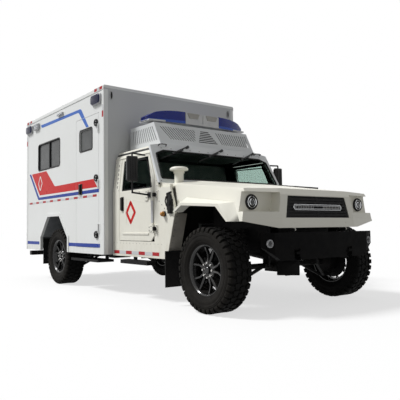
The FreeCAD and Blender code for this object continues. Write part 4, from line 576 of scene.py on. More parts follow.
boltSteel = metalFinish("boltSteel", (0.62, 0.62, 0.60), (0.40, 0.38, 0.35), 0.28)
chromeRing = metalFinish("chromeRing", (0.72, 0.73, 0.74), (0.55, 0.56, 0.57), 0.16)
dullSteel = mouldedFinish("dullSteel", (0.20, 0.20, 0.20), (0.30, 0.29, 0.27), 0.45, 400, 0.3, 0.5)
wheelhousePaint = mouldedFinish("wheelhousePaint", (0.34, 0.32, 0.28), (0.48, 0.45, 0.40), 0.7, 300, 0.5)
cabGlass = glassFinish("cabGlass", (0.55, 0.66, 0.62), 1.0, 0.03, 0.06, 1.01)
screenGlass = glassFinish("screenGlass", (0.60, 0.72, 0.67), 1.0, 0.03, 0.02, 1.01, (0.20, 0.22, 0.20))
boxGlass = glassFinish("boxGlass", (0.075, 0.08, 0.08), 0.25, 0.04, 0.07, 1.3)
lampGlass = glassFinish("lampGlass", (0.80, 0.83, 0.85), 0.92, 0.03)
lampGrey = mouldedFinish("lampGrey", (0.46, 0.47, 0.49), (0.58, 0.58, 0.58), 0.34, 900, 0.15)
beigeGrey = mouldedFinish("beigeGrey", (0.30, 0.29, 0.27), (0.37, 0.36, 0.34), 0.5, 900, 0.2)
blueLens = lensFinish("blueLens", (0.008, 0.030, 0.36), (0.002, 0.006, 0.085), 60)
navyLens = lensFinish("navyLens", (0.006, 0.013, 0.115), (0.0015, 0.003, 0.035), 60)
skyLens = lensFinish("skyLens", (0.045, 0.14, 0.62), (0.010, 0.035, 0.28), 30)
amberLens = lensFinish("amberLens", (0.55, 0.25, 0.05), (0.30, 0.12, 0.02), 60)
redLens = lensFinish("redLens", (0.45, 0.012, 0.012), (0.22, 0.006, 0.008), 60, "Z")
floorVinyl = mouldedFinish("floorVinyl", (0.13, 0.14, 0.15), (0.20, 0.21, 0.22), 0.6, 400, 0.4)
seatCloth = mouldedFinish("seatCloth", (0.012, 0.0125, 0.0135), (0.026, 0.026, 0.028), 0.85, 1400, 0.8, 0.0, 0.1)
redFilm = filmFinish("redFilm", (0.58, 0.006, 0.006), (0.46, 0.02, 0.018))
blueFilm = filmFinish("blueFilm", (0.008, 0.040, 0.30), (0.03, 0.06, 0.25))
skyFilm = filmFinish("skyFilm", (0.050, 0.150, 0.52), (0.09, 0.17, 0.45))
whiteFilm = filmFinish("whiteFilm", (0.80, 0.80, 0.79), (0.66, 0.65, 0.62))
sideTape = tapeFinish("sideTape", truck["axleToOrigin"] - 2.560, 0.335, 0.42)
sillTape = tapeFinish("sillTape", truck["axleToOrigin"] - 1.145, 0.335, 0.46)
redTape = filmFinish("redTape", (0.40, 0.015, 0.020), (0.30, 0.03, 0.03))
silverTape = filmFinish("silverTape", (0.60, 0.61, 0.62), (0.50, 0.50, 0.48))
print("materials made")

# CAD nodes by the finish on them
nodeFinishes = (
    (chassisCoat, "frame suspension driveline steps fuel_tank knuckle_left knuckle_right"),
    (bumperCoat, "front_bumper"), (bonnetPaint, "bonnet"),
    (cabPaint, "cab_tub cab_roof air_intake cab_door_left cab_door_right"),
    (shroudShadePaint, "windscreen_frame roof_shroud"), (screenGlass, "windscreen"),
    (cabGlass, "cab_door_glass_left cab_door_glass_right"), (lampGrey, "light_bar beacon_housings work_lamps"),
    (blueLens, "blue_lenses"), (amberLens, "turn_lamps"), (lampGlass, "fog_lamps"), (redLens, "rear_lamps"),
    (trimPlastic, "latches wipers bonnet_vent box_window_frames side_door_trim dashboard grille headlamps"),
    (trimPlastic, "mirror_left mirror_right"), (sealRubber, "mud_flaps"), (seatCloth, "seats"),
    (floorVinyl, "box_floor"), (frontWallShadePaint, "box_front_wall"),
    (boxPaint, "box_left_wall box_right_wall box_roof box_rear_frame side_door rear_door_left rear_door_right"),
    (boxGlass, "box_windows side_door_glass rear_door_glass_left rear_door_glass_right"),
    (treadRubber, "tyre_front_left tyre_front_right tyre_rear_left tyre_rear_right"),
    (rimGloss, "rim_front_left rim_front_right rim_rear_left rim_rear_right"))
for finish, names in nodeFinishes:
    for nodeName in names.split():
        paint(nodes[nodeName], finish)

# Worked sheet and castings keep a small rounded edge that catches the light
edgeWidths = (
    (0.0015, "roof_shroud"),
    (0.002, "frame box_left_wall box_right_wall side_door rear_door_left rear_door_right box_window_frames"),
    (0.003, "cab_door_left cab_door_right windscreen_frame box_rear_frame suspension"),
    (0.004, "cab_tub front_bumper steps mirror_left mirror_right bonnet_vent"),
    (0.006, "bonnet fuel_tank driveline beacon_housings"), (0.008, "cab_roof work_lamps"), (0.012, "dashboard"),
    (0.02, "seats"))
for width, names in edgeWidths:
    for nodeName in names.split():
        weld = nodes[nodeName].modifiers.new("weld", "WELD")
        weld.merge_threshold = weldGap
        edge = nodes[nodeName].modifiers.new("edge", "BEVEL")
        edge.width = width
        edge.segments = 2
        edge.limit_method = "ANGLE"
        edge.angle_limit = math.radians(28)
print("nodes finished")

# Tyres

tyreShape = {"centre": onTruck(0, -truck["trackHalf"], truck["axleHeight"]), "turns": 96, "pitches": 36,
             "crown": 0.4435, "blockTop": 0.4588, "blockFoot": 0.4380, "shoulderLug": 0.050, "lugEdge": 0.0022,
             "blockSink": 0.001}
# Outline of one half of the carcass as (radius, distance from the middle plane)
tyreOutline = ((0.262, 0.100), (0.266, 0.117), (0.276, 0.1215), (0.288, 0.1245), (0.292, 0.129), (0.305, 0.1345),
               (0.322, 0.1395), (0.325, 0.1418), (0.352, 0.1448), (0.355, 0.1436), (0.372, 0.1446), (0.374, 0.1464),
               (0.380, 0.1464), (0.382, 0.1444), (0.387, 0.1442), (0.389, 0.1460), (0.394, 0.1456), (0.396, 0.1434),
               (0.402, 0.1426), (0.416, 0.1380), (0.432, 0.1270), (0.441, 0.1100), (0.4435, 0.0800), (0.4435, 0.0300))
# One shoulder lug as (radius, distance from the middle), and one middle block as (way round, distance)
shoulderOutline = ((0.436, 0.082), (0.4588, 0.082), (0.4588, 0.118), (0.4500, 0.1385), (0.4280, 0.1482),
                   (0.4060, 0.1478), (0.4040, 0.1400), (0.4260, 0.1240))
middleOutline = ((-0.026, 0.010), (0.014, 0.006), (0.030, 0.026), (0.026, 0.070), (-0.010, 0.074), (-0.014, 0.062),
                 (-0.032, 0.056))


def wheelPoint(radius, angle, along):
    return tyreShape["centre"] + Vector((radius * math.sin(angle), along, radius * math.cos(angle)))


def makeTyre(name):
    shape = tyreShape
    outline = list(tyreOutline) + [(radius, -along) for radius, along in reversed(tyreOutline)]
    carcass = spinPiece(name, outline, shape["centre"], shape["turns"])
    smoothByAngle(carcass, 50)
    pitch = 2 * math.pi / shape["pitches"]
    half = shape["shoulderLug"] / 2
    blocks = []
    for side in (-1, 1):
        corners = [shape["centre"] + Vector((-half, side * along, radius)) for radius, along in shoulderOutline]
        blocks.append(outlinePiece(name + "Shoulder", corners, Vector((2 * half, 0, 0))))
        lean = side * pitch / 4
        corners = [wheelPoint(shape["blockFoot"], across / shape["crown"] * side + lean, side * along)
                   for across, along in middleOutline]
        outward = wheelPoint(1, lean, 0) - shape["centre"]
        height = shape["blockTop"] - shape["blockFoot"] - shape["blockSink"]
        blocks.append(outlinePiece(name + "Middle", corners, outward * height))
    for block in blocks:
        softenEdges(block, shape["lugEdge"], 1, 30)
    ring = joinPieces(name + "Ring", blocks)
    editAll(ring)
    bpy.ops.mesh.spin(steps=shape["pitches"] - 1, dupli=True, angle=2 * math.pi - pitch,
                      center=shape["centre"], axis=(0, 1, 0))
    backToObject()
    return joinPieces(name, [carcass, ring])


# Wheels

rimShape = {"turns": 64, "pairs": 5, "bolts": 8, "boltCircle": 0.078, "boltRadius": 0.0115, "faceY": -0.078,
            "pairOffset": 0.16, "pairSpread": 0.13, "firstPair": 0.2, "spokeDepth": 0.034, "spokeEdge": 0.004,
            "boltLength": 0.016, "boltEdge": 0.0015}
# Barrel from the outer lip to the inner lip and back under it
barrelOutline = ((0.264, -0.119), (0.272, -0.119), (0.272, -0.112), (0.264, -0.106), (0.257, -0.090), (0.250, -0.060),
                 (0.236, -0.040), (0.236, 0.060), (0.250, 0.090), (0.264, 0.106), (0.272, 0.112), (0.272, 0.119),
                 (0.262, 0.119), (0.250, 0.104), (0.240, 0.080), (0.226, 0.060), (0.226, -0.040), (0.238, -0.062),
                 (0.246, -0.092), (0.252, -0.108), (0.258, -0.113))
hubOutline = ((0.001, -0.070), (0.050, -0.070), (0.056, -0.078), (0.094, -0.078), (0.102, -0.070), (0.104, -0.020),
              (0.001, -0.020))
capOutline = ((0.001, -0.098), (0.030, -0.098), (0.038, -0.092), (0.040, -0.070), (0.001, -0.070))
spokeEnds = ((0.085, 0.0150, -0.004), (0.165, 0.0105, 0.004), (0.246, 0.0115, -0.018))


# One slim spoke that leans away from its pair: (radius, half width, how far its face stands from the hub's)
def makeSpoke(name, angle, spread):
    shape = rimShape
    rows = []
    for count, (radius, half, step) in enumerate(spokeEnds):
        lean = angle + spread * count / (len(spokeEnds) - 1)
        side = half / radius
        rows.append([wheelPoint(radius, lean + turn * side, shape["faceY"] + step) for turn in (-1, 1)])
    flat = [row[0] for row in rows] + [row[1] for row in reversed(rows)]
    spoke = outlinePiece(name, flat, Vector((0, shape["spokeDepth"], 0)))
    return softenEdges(spoke, shape["spokeEdge"], 2, 50)


def makeRim(name):
    shape = rimShape
    centre = tyreShape["centre"]
    barrel = smoothByAngle(spinPiece(name, barrelOutline, centre, shape["turns"]), 40)
    hub = spinPiece(name + "Hub", hubOutline, centre, 40)
    cap = spinPiece(name + "Cap", capOutline, centre, 32)
    parts = [barrel, smoothByAngle(hub), smoothByAngle(cap)]
    for pair in range(shape["pairs"]):
        angle = 2 * math.pi * pair / shape["pairs"] + shape["firstPair"]
        parts.append(makeSpoke(name + "SpokeA", angle - shape["pairOffset"], -shape["pairSpread"]))
        parts.append(makeSpoke(name + "SpokeB", angle + shape["pairOffset"], shape["pairSpread"]))
    rim = paint(joinPieces(name, parts), rimGloss)
    bolts = []
    for count in range(shape["bolts"]):
        seat = wheelPoint(shape["boltCircle"], 2 * math.pi * count / shape["bolts"], shape["faceY"])
        bolts.append(discPiece(name + "Bolt", seat, (0, -1, 0), shape["boltRadius"], shape["boltLength"], 6,
                               shape["boltEdge"]))
    studs = paint(joinPieces(name + "Bolts", bolts), boltSteel)
    return joinPieces(name, [rim, studs])


tyreModel = makeTyre("tyreTread")
rimModel = makeRim("rimSpoked")
for line, back in (("Front", 0.0), ("Rear", -truck["wheelbase"])):
    for hand, turn in (("Right", 0.0), ("Left", math.pi)):
        about = onTruck(0, 0, 0)
        body = "wheel_" + line.lower() + "_" + hand.lower()
        node = "_" + line.lower() + "_" + hand.lower()
        tyre = copyPiece(tyreModel, "tyreTread" + line + hand, (back, 0, 0), turn, about)
        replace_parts(dress(tyre, treadRubber, body), "tyre" + node)
        rim = copyPiece(rimModel, "rimSpoked" + line + hand, (back, 0, 0), turn, about)
        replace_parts(mount(rim, body), "rim" + node)
discard([tyreModel, rimModel])
print("wheels made")

# Films and tapes on the box

boxMarks = {"film": 0.0011, "doorRear": -3.150, "doorFront": -2.365, "doorTop": 2.590, "doorBottom": 0.640,
            "gap": 0.005, "tapeLow": 1.378, "tapeHigh": 1.412, "tapeRear": -5.330, "tapeFront": -2.433,
            "stripeLow": 0.646, "stripeHigh": 0.700, "archRear": -4.722, "archFront": -3.428}


# A film on the right wall, cut where the side door opens, and its whole mirror on the left wall
def boxFilm(name, outline, material):
    marks = boxMarks
    whole = sidePlate(name, outline, -truck["boxSide"] - filmGap, -marks["film"])
    dress(otherSide(whole, name + "Left"), material, "chassis")
    rear, front, gap = marks["doorRear"], marks["doorFront"], marks["gap"]
    parts = (("Rear", "chassis", (-6, rear - gap), (0, 3)), ("Front", "chassis", (front + gap, 0), (0, 3)),
             ("Above", "chassis", (rear - gap, front + gap), (marks["doorTop"] + gap, 3)),
             ("Door", "side_door", (rear, front), (marks["doorBottom"], marks["doorTop"])))
    for part, body, acrossX, acrossZ in parts:
        copy = copyPiece(whole, name + part)
        piece = keepInside(copy, (acrossX[0], -1.3, acrossZ[0]), (acrossX[1], -1.1, acrossZ[1]))
        if len(piece.data.polygons) > 3:
            dress(piece, material, body)
        else:
            discard([piece])
    discard([whole])


def makeBoxGraphics():
    redBand = roundTurns(((-5.139, 1.938), (-4.409, 1.933), (-4.020, 1.637), (-2.536, 1.640), (-2.414, 1.514),
                          (-4.728, 1.523)), (0, 0.03, 0.12, 0, 0, 0.04))
    blueBand = roundTurns(((-5.265, 1.944), (-5.186, 1.942), (-4.755, 1.487), (-2.369, 1.487), (-2.351, 1.436),
                           (-4.800, 1.442)), (0, 0, 0.04, 0, 0, 0.08))
    skyBand = roundTurns(((-4.691, 2.787), (-2.970, 2.756), (-2.692, 2.432), (-2.781, 2.435), (-3.055, 2.712),
                          (-4.627, 2.730)), (0, 0.10, 0, 0, 0.06, 0))
    boxFilm("redBand", redBand, redFilm)
    boxFilm("blueBand", blueBand, blueFilm)
    boxFilm("skyBand", skyBand, skyFilm)
    marks = boxMarks
    for part, rear, front in (("Behind", -5.400, marks["archRear"]), ("Ahead", marks["archFront"], -2.330)):
        stripe = rectangle((rear, marks["stripeLow"]), (front, marks["stripeHigh"]))
        boxFilm("lowStripe" + part, stripe, blueFilm)
    tape = rectangle((marks["tapeRear"], marks["tapeLow"]), (marks["tapeFront"], marks["tapeHigh"]))
    boxFilm("sideTape", tape, sideTape)


diamondShape = {"centre": (-4.700, 1.735), "halfWidth": 0.105, "halfHeight": 0.150, "line": 0.024, "turn": 0.03,
                "doorCentre": (-1.685, 1.125), "doorHalf": 0.172, "doorLine": 0.048}


# An upright rounded diamond ring on a side face
def diamondRing(name, centre, halfWidth, halfHeight, line, face, depth):
    points = [(centre[0] - halfWidth, centre[1]), (centre[0], centre[1] - halfHeight),
              (centre[0] + halfWidth, centre[1]), (centre[0], centre[1] + halfHeight)]
    corners = [onTruck(x, face, z) for x, z in roundTurns(points, diamondShape["turn"], 3)]
    return ringPlate(name, corners, line, Vector((0, depth, 0)))


def makeDiamonds():
    shape = diamondShape
    film = boxMarks["film"]
    ring = diamondRing("whiteDiamond", shape["centre"], shape["halfWidth"], shape["halfHeight"], shape["line"],
                       -truck["boxSide"] - skinGap - film, -film)
    dressBoth(ring, whiteFilm, hull)
    ring = diamondRing("redDiamond", shape["doorCentre"], shape["doorHalf"] * 0.82, shape["doorHalf"],
                       shape["doorLine"], -truck["cabSide"] - filmGap, -film)
    dressBoth(ring, redFilm, cabDoors)


makeBoxGraphics()
makeDiamonds()
print("films made")

# Box corners, rails and marks

boxTrim = {"postWidth": 0.062, "postProud": 0.004, "postTurn": 0.014, "postTop": 2.893, "railMark": 0.0008,
           "markLow": 2.905, "markHigh": 2.948, "markLength": 0.085, "sideMarkLow": 2.50, "sideMarkStep": 0.09,
           "eyeY": 1.093, "eyeZ": 2.815, "eyeHalfWidth": 0.026, "eyeHalfHeight": 0.066,
           "railProud": 0.0082, "railEnds": (("Front", -2.235, -1), ("Rear", -5.385, 1)),
           "postEnds": (("Front", -2.255, -2.210), ("Rear", -5.410, -5.366))}


def makeCornerPosts():
    shape = boxTrim
    side = truck["boxSide"]
    for name, edge, way in (("Front", truck["boxFront"], 1), ("Rear", truck["boxRear"], -1)):
        out, width, proud = -side, shape["postWidth"], shape["postProud"]
        face = edge + way * proud
        outline = [(edge - way * width, out - 0.0001), (edge - way * width, out - proud), (face, out - proud),
                   (face, out + width), (edge + way * 0.0002, out + width), (edge + way * 0.0002, out - 0.0001)]
        outline = roundTurns(outline, (0, 0.002, shape["postTurn"], 0.002, 0, 0))
        post = topPlate("cornerPost" + name, outline, truck["boxBottom"] + 0.004,
                        shape["postTop"] - truck["boxBottom"])
        dressBoth(smoothByAngle(post), boxPaint, hull)


# Red and silver marks in turn on the roof rail's ends and down the corner posts
def makeCornerMarks():
    shape = boxTrim
    railFace = -truck["boxSide"] - shape["railProud"]
    postFace = -truck["boxSide"] - shape["postProud"] - filmGap
    for name, start, way in shape["railEnds"]:
        for count in range(3):
            near = start + way * count * shape["markLength"]
            far = near + way * shape["markLength"]
            outline = rectangle((min(near, far), shape["markLow"]), (max(near, far), shape["markHigh"]))
            mark = sidePlate("railMark" + name + str(count), outline, railFace, -shape["railMark"])
            dressBoth(mark, (redTape, silverTape)[count % 2], hull)
    for name, rear, front in shape["postEnds"]:
        for count in range(2):
            low = shape["sideMarkLow"] + count * shape["sideMarkStep"]
            outline = rectangle((rear, low), (front, low + shape["sideMarkStep"]))
            mark = sidePlate("postMark" + name + str(count), outline, postFace, -shape["railMark"])
            dressBoth(mark, (redTape, silverTape)[count % 2], hull)


# Small dark oval eyes high on the front wall, each in a raised ring
def makeWallEyes():
    shape = boxTrim
    turns = 20
    outline = [(-shape["eyeY"] + shape["eyeHalfWidth"] * math.cos(2 * math.pi * step / turns),
                shape["eyeZ"] + shape["eyeHalfHeight"] * math.sin(2 * math.pi * step / turns)) for step in range(turns)]
    corners = [onTruck(truck["boxFront"] + plateGap, y, z) for y, z in outline]
    ring = softenEdges(ringPlate("wallEyeRing", corners, 0.009, Vector((0.010, 0, 0))), 0.003)
    dressBoth(smoothByAngle(ring), frontWallShadePaint, hull)
    middle = frontPlate("wallEye", outline, truck["boxFront"] + plateGap, 0.003)
    dressBoth(middle, trimPlastic, hull)


makeCornerPosts()
makeCornerMarks()
makeWallEyes()
print("box corners made")

# Corner beacons, flood lamps and markers on the box sides

beaconShape = {"front": -2.420, "rear": -5.235, "z": 2.785, "length": 0.265, "height": 0.130, "border": 0.014,
               "housingProud": 0.026, "lensProud": 0.0458, "turn": 0.050, "flood": -4.850, "floodLength": 0.230,
               "floodHeight": 0.120, "marker": -3.760, "markerZ": 2.818, "markerHeight": 0.042,
               "markerProud": 0.040}


# A rounded slab on the right wall: middle place, size, how far it starts and ends from the wall
def sideSlab(name, middle, length, height, turn, start, end, edge):
    outline = roundTurns(rectangle((middle[0] - length / 2, middle[1] - height / 2),
                                   (middle[0] + length / 2, middle[1] + height / 2)), turn)
    slab = sidePlate(name, outline, -truck["boxSide"] - start, -(end - start))
    return smoothByAngle(softenEdges(slab, edge, 3))


def makeBoxLamps():
    shape = beaconShape
    housings, lenses, floods, glasses = [], [], [], []
    for name, x in (("Front", shape["front"]), ("Rear", shape["rear"])):
        border = 2 * shape["border"]
        housings.append(sideSlab("beaconHousing" + name, (x, shape["z"]), shape["length"] + border,
                                 shape["height"] + border, shape["turn"], 0.0004, shape["housingProud"], 0.010))
        lenses.append(sideSlab("beaconLens" + name, (x, shape["z"]), shape["length"], shape["height"],
                               shape["turn"] - 0.006, shape["housingProud"] - 0.002, shape["lensProud"], 0.013))
    proud = shape["lensProud"]
    floods.append(sideSlab("floodHousing", (shape["flood"], shape["z"]), shape["floodLength"], shape["floodHeight"],
                           0.030, 0.0004, proud - 0.008, 0.009))
    rim = rectangle((shape["flood"] - 0.098, shape["z"] - 0.044), (shape["flood"] + 0.098, shape["z"] + 0.044))
    corners = [onTruck(x, -truck["boxSide"] - proud + 0.009, z) for x, z in roundTurns(rim, 0.022)]
    floods.append(softenEdges(ringPlate("floodRim", corners, 0.009, Vector((0, -0.008, 0))), 0.002))
    glasses.append(sideSlab("floodGlass", (shape["flood"], shape["z"]), 0.178, 0.070, 0.014, proud - 0.009,
                            proud - 0.004, 0.0015))
    floods.append(sideSlab("markerHousing", (shape["marker"], shape["markerZ"]), shape["floodLength"],
                           shape["markerHeight"], 0.012, 0.0004, shape["markerProud"] - 0.006, 0.004))
    glasses.append(sideSlab("markerGlass", (shape["marker"], shape["markerZ"] - 0.002), 0.196, 0.024, 0.010,
                            shape["markerProud"] - 0.007, shape["markerProud"] - 0.001, 0.003))
    groups = (("beaconHousing", housings, lampGrey, "beacon_housings", "lamp_housing"),
              ("beaconLens", lenses, navyLens, "blue_lenses", "blue_lens"),
              ("floodHousing", floods, lampGrey, "work_lamps", "lamp_housing"),
              ("floodGlass", glasses, lampGlass, None, "lamp_glass"))
    for name, parts, material, node, slot in groups:
        for piece in dressBoth(joinPieces(name, parts), material, hull):
            if node:
                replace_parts(piece, node)


makeBoxLamps()
print("box lamps made")

# Roof light bar

barShape = {"x": -1.610, "length": 0.250, "low": 2.400, "high": 2.545, "inner": 0.302, "outer": 0.862,
            "sweep": 0.085, "droop": 0.55, "narrow": 0.30, "edge": 0.030, "stripLow": 2.377, "stripHigh": 2.412,
            "cuts": (-0.42, -0.54, -0.62, -0.68, -0.74, -0.79, -0.83)}


# The ends of the bar run back in plan, more and more towards the tips, and slope down and narrow there
def sweepBack(piece):
    shape = barShape
    middle = shape["x"] + truck["axleToOrigin"]
    for vertex in piece.data.vertices:
        run = max(0.0, abs(vertex.co.y) - shape["inner"]) / (shape["outer"] - shape["inner"])
        if vertex.co.z > shape["stripHigh"]:
            vertex.co.z -= (vertex.co.z - shape["stripHigh"]) * shape["droop"] * run ** 3
        vertex.co.x = middle + (vertex.co.x - middle) * (1 - shape["narrow"] * run ** 3)
        vertex.co.x -= shape["sweep"] * run ** 1.6
    return piece


def barDome(name, low, high, inset, endTurn):
    shape = barShape
    outline = [(-shape["inner"], low), (-shape["inner"], high), (-shape["outer"] + 0.100, high),
               (-shape["outer"] + inset, (low + high) / 2 + 0.018), (-shape["outer"] + inset, low + 0.010),
               (-shape["outer"] + inset + 0.014, low)]
    outline = roundTurns(outline, (0, 0, endTurn, 0.03, 0.008, 0.008), 6)
    front = shape["x"] + shape["length"] / 2 - inset
    dome = frontPlate(name, outline, front, -shape["length"] + 2 * inset)
    editAll(dome)
    for y in shape["cuts"]:
        bpy.ops.mesh.select_all(action="SELECT")
        bpy.ops.mesh.bisect(plane_co=(0, y, 0), plane_no=(0, 1, 0))
    backToObject()
    softenEdges(dome, shape["edge"], 4, 50)
    return smoothByAngle(sweepBack(dome), 50)


def makeLightBar():
    shape = barShape
    dome = barDome("barDome", shape["low"], shape["high"], 0.003, 0.095)
    for piece in dressBoth(dome, blueLens, hull):
        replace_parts(piece, "blue_lenses")
    strip = barDome("barStrip", shape["stripLow"], shape["stripHigh"], 0.0, 0.01)
    dressBoth(strip, skyLens, hull)
    module = [(-0.275, 2.535), (-0.055, 2.535), (-0.088, 2.462), (-0.240, 2.462)]
    face = shape["x"] + shape["length"] / 2
    plate = frontPlate("barModule", roundTurns(module, 0.008), face - 0.004, 0.012)
    dressBoth(softenEdges(plate, 0.003), beigeGrey, hull)


# Black box behind the shroud's slots: painted shade, a dark block that stands in for the shade in the hollow behind
# them
def makeVentShadeBox():
    outline = roundTurns(((-2.050, 2.010), (-1.425, 2.010), (-1.545, 2.312), (-2.050, 2.312)), 0.01)
    box = sidePlate("ventShadeBox", outline, -0.800, 1.600)
    dress(softenEdges(box, 0.004, 1), trimPlastic, "chassis")


makeLightBar()
makeVentShadeBox()
print("light bar made")

# Nose: headlamps, grille mesh and bar, and fog lamps in the bumper

noseShape = {"bayX": 0.455, "lampY": 0.891, "lampZ": 1.168, "faceX": 0.604, "faceZ": 1.000, "lean": -0.104,
             "back": 0.0095, "meshY": 0.50, "meshLow": 1.012, "meshHigh": 1.233, "cell": 0.0165, "wire": 0.0032,
             "barY": 0.405, "barLow": 1.088, "barHigh": 1.150, "bars": 11, "barStart": 0.085, "barPitch": 0.027,
             "fogX": 0.648, "fogY": 0.820, "fogZ": 0.742, "fogRadius": 0.041, "cupCircle": 0.0205,
             "louvres": 14, "louvreStart": -0.745, "louvrePitch": 0.047}
cupOutline = ((0.001, 0.0), (0.0095, 0.0), (0.0095, 0.004), (0.006, 0.008), (0.001, 0.0095))
towHook = ((0.600, 0.600), (0.640, 0.598), (0.660, 0.612), (0.664, 0.636), (0.650, 0.654), (0.612, 0.660))
bezelOutline = ((0.080, 0.0005), (0.080, 0.014), (0.074, 0.024), (0.066, 0.0245), (0.063, 0.006), (0.063, 0.0005))
chromeOutline = ((0.0628, 0.004), (0.0628, 0.020), (0.058, 0.0225), (0.0535, 0.016), (0.0535, 0.004))
bowlOutline = ((0.001, 0.003), (0.054, 0.003), (0.054, 0.009), (0.046, 0.0105), (0.040, 0.006), (0.001, 0.006))
innerRingOutline = ((0.036, 0.005), (0.036, 0.019), (0.031, 0.022), (0.027, 0.015), (0.027, 0.005))
projectorOutline = ((0.001, 0.006), (0.026, 0.006), (0.026, 0.013), (0.018, 0.020), (0.008, 0.0225), (0.001, 0.023))


def makeHeadlamps():
    shape = noseShape
    centre = onTruck(shape["bayX"], -shape["lampY"], shape["lampZ"])
    layers = (("headlampBezel", (bezelOutline,), trimPlastic, "black_trim"),
              ("headlampRings", (chromeOutline, innerRingOutline), chromeRing, "lamp_housing"),
              ("headlampBowl", (bowlOutline,), trimPlastic, "black_trim"),
              ("headlampLens", (projectorOutline,), lampGlass, "lamp_glass"))
    for name, outlines, material, slot in layers:
        parts = [spinPiece(name, outline, centre, 48, "X") for outline in outlines]
        for piece in dressBoth(smoothByAngle(joinPieces(name, parts), 30), material, ("bonnet", "bonnet")):
            if name == "headlampBezel":
                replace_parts(piece, "headlamps")


def grilleX(z, lift=0.0):
    shape = noseShape
    return shape["faceX"] + shape["lean"] * (z - shape["faceZ"]) - shape["back"] + lift


# Fine square mesh over the grille plate: a grid turned into wires
def makeGrilleMesh():
    shape = noseShape
    high = shape["meshHigh"] - shape["meshLow"]
    deselectAll()
    bpy.ops.mesh.primitive_grid_add(x_subdivisions=round(high / shape["cell"]),
                                    y_subdivisions=round(2 * shape["meshY"] / shape["cell"]), size=1)
    mesh = takeName("grilleMesh")
    for vertex in mesh.data.vertices:
        share = vertex.co.x + 0.5
        z = shape["meshLow"] + share * high
        y = 2 * shape["meshY"] * vertex.co.y * (1.055 - 0.105 * share)
        vertex.co = onTruck(grilleX(z, 0.002), y, z)
    useOnly(mesh)
    wires = mesh.modifiers.new("wires", "WIREFRAME")
    wires.thickness = shape["wire"]
    bpy.ops.object.modifier_apply(modifier=wires.name)
    dress(mesh, trimPlastic, "bonnet")


# A long bright outline across the mesh with a row of small upright bars inside
def makeGrilleBar():
    shape = noseShape
    low, high = shape["barLow"], shape["barHigh"]
    middle = (low + high) / 2
    far, near = shape["barY"], shape["barY"] - 0.022
    long = ((-far, middle), (-near, low), (near, low), (far, middle), (near, high), (-near, high))
    parts = []
    for grow, line in ((0.0, 0.0045), (0.014, 0.003)):
        outline = [(y * (1 - grow / 0.45), middle + (z - middle) * (1 - grow / 0.031)) for y, z in long]
        corners = [onTruck(grilleX(z, 0.005), y, z) for y, z in outline]
        parts.append(ringPlate("grilleBar", corners, line, Vector((0.004, 0, 0.0004))))
    dress(softenEdges(joinPieces("grilleBar", parts), 0.0008, 1), chromeRing, "bonnet")
    cells = []
    for side in (-1, 1):
        for count in range(shape["bars"]):
            y = side * (shape["barStart"] + shape["barPitch"] * count)
            cells.append(truckBlock("grilleCell", (grilleX(middle, 0.004), y - 0.004, middle - 0.015),
                                    (grilleX(middle, 0.008), y + 0.004, middle + 0.015), 0.001, 1))
    dress(joinPieces("grilleCells", cells), dullSteel, "bonnet")


def makeFogLamps():
    shape = noseShape
    centre = onTruck(shape["fogX"], -shape["fogY"], shape["fogZ"])
    radius = shape["fogRadius"]
    outline = ((0.001, -0.020), (radius, -0.020), (radius, 0.006), (radius - 0.004, 0.009), (radius - 0.008, 0.004),
               (radius - 0.009, -0.006), (0.001, -0.006))
    shell = smoothByAngle(spinPiece("fogShell", outline, centre, 40, "X"))
    for piece in dressBoth(shell, lampGrey, hull):
        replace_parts(piece, "fog_lamps")
    cups = []
    for count in range(7):
        angle = math.pi / 3 * count
        out = 0.0 if count == 6 else shape["cupCircle"]
        seat = centre + Vector((-0.006, out * math.cos(angle), out * math.sin(angle)))
        cups.append(spinPiece("fogCup", cupOutline, seat, 14, "X"))
    dressBoth(smoothByAngle(joinPieces("fogCups", cups), 40), lampGlass, hull)


# Dark plate behind the slats, where the radiator is
def makeGrilleBack():
    outline = ((-0.545, 0.995), (0.545, 0.995), (0.515, 1.238), (-0.515, 1.238))
    corners = [onTruck(grilleX(z, -0.050), y, z) for y, z in outline]
    dress(outlinePiece("grilleBack", corners, Vector((-0.012, 0, 0))), trimPlastic, "bonnet")


# Guard under the bumper: a flat black plate, dark pads behind the notches for the tow hooks, and the hooks
def makeSkidPlate():
    outline = roundTurns(((-0.640, 0.560), (-0.640, 0.412), (-0.300, 0.388), (-0.300, 0.560)), 0.012)
    parts = [softenEdges(frontPlate("skidPlate", outline, 0.556, 0.010), 0.003)]
    sides = (-0.400, 0.400)
    for side in sides:
        pad = frontPlate("towPad", rectangle((side - 0.085, 0.552), (side + 0.085, 0.705)), 0.606, 0.010)
        parts.append(softenEdges(pad, 0.002, 1))
    parts += [tubePiece("towHook", [onTruck(x, side, z) for x, z in towHook], 0.010) for side in sides]
    dress(smoothByAngle(joinPieces("skidPlate", parts), 40), bumperCoat, "chassis")


# The vent on the left of the bonnet: a raised rim with louvres
def makeVentRim():
    shape = noseShape
    side = ((-0.772, 1.462), (-0.772, 1.496), (-0.508, 1.471), (-0.070, 1.417), (-0.070, 1.380), (-0.508, 1.430))
    rims = [sidePlate("ventRim", side, y, 0.012) for y in (0.686, 0.792)]
    for x, z in ((-0.772, 1.478), (-0.082, 1.399)):
        rims.append(truckBlock("ventRim", (x, 0.686, z - 0.018), (x + 0.012, 0.804, z + 0.018)))
    for step in range(shape["louvres"]):
        x = shape["louvreStart"] + shape["louvrePitch"] * step
        z = 1.486 - (x - shape["louvreStart"]) * 0.118
        rims.append(truckBlock("ventLouvre", (x, 0.692, z - 0.022), (x + 0.012, 0.798, z + 0.004)))
    dress(joinPieces("bonnetVentRim", rims), trimPlastic, "bonnet")


makeHeadlamps()
makeVentRim()
makeGrilleBack()
makeSkidPlate()
makeGrilleMesh()
makeGrilleBar()
makeFogLamps()
print("nose made")

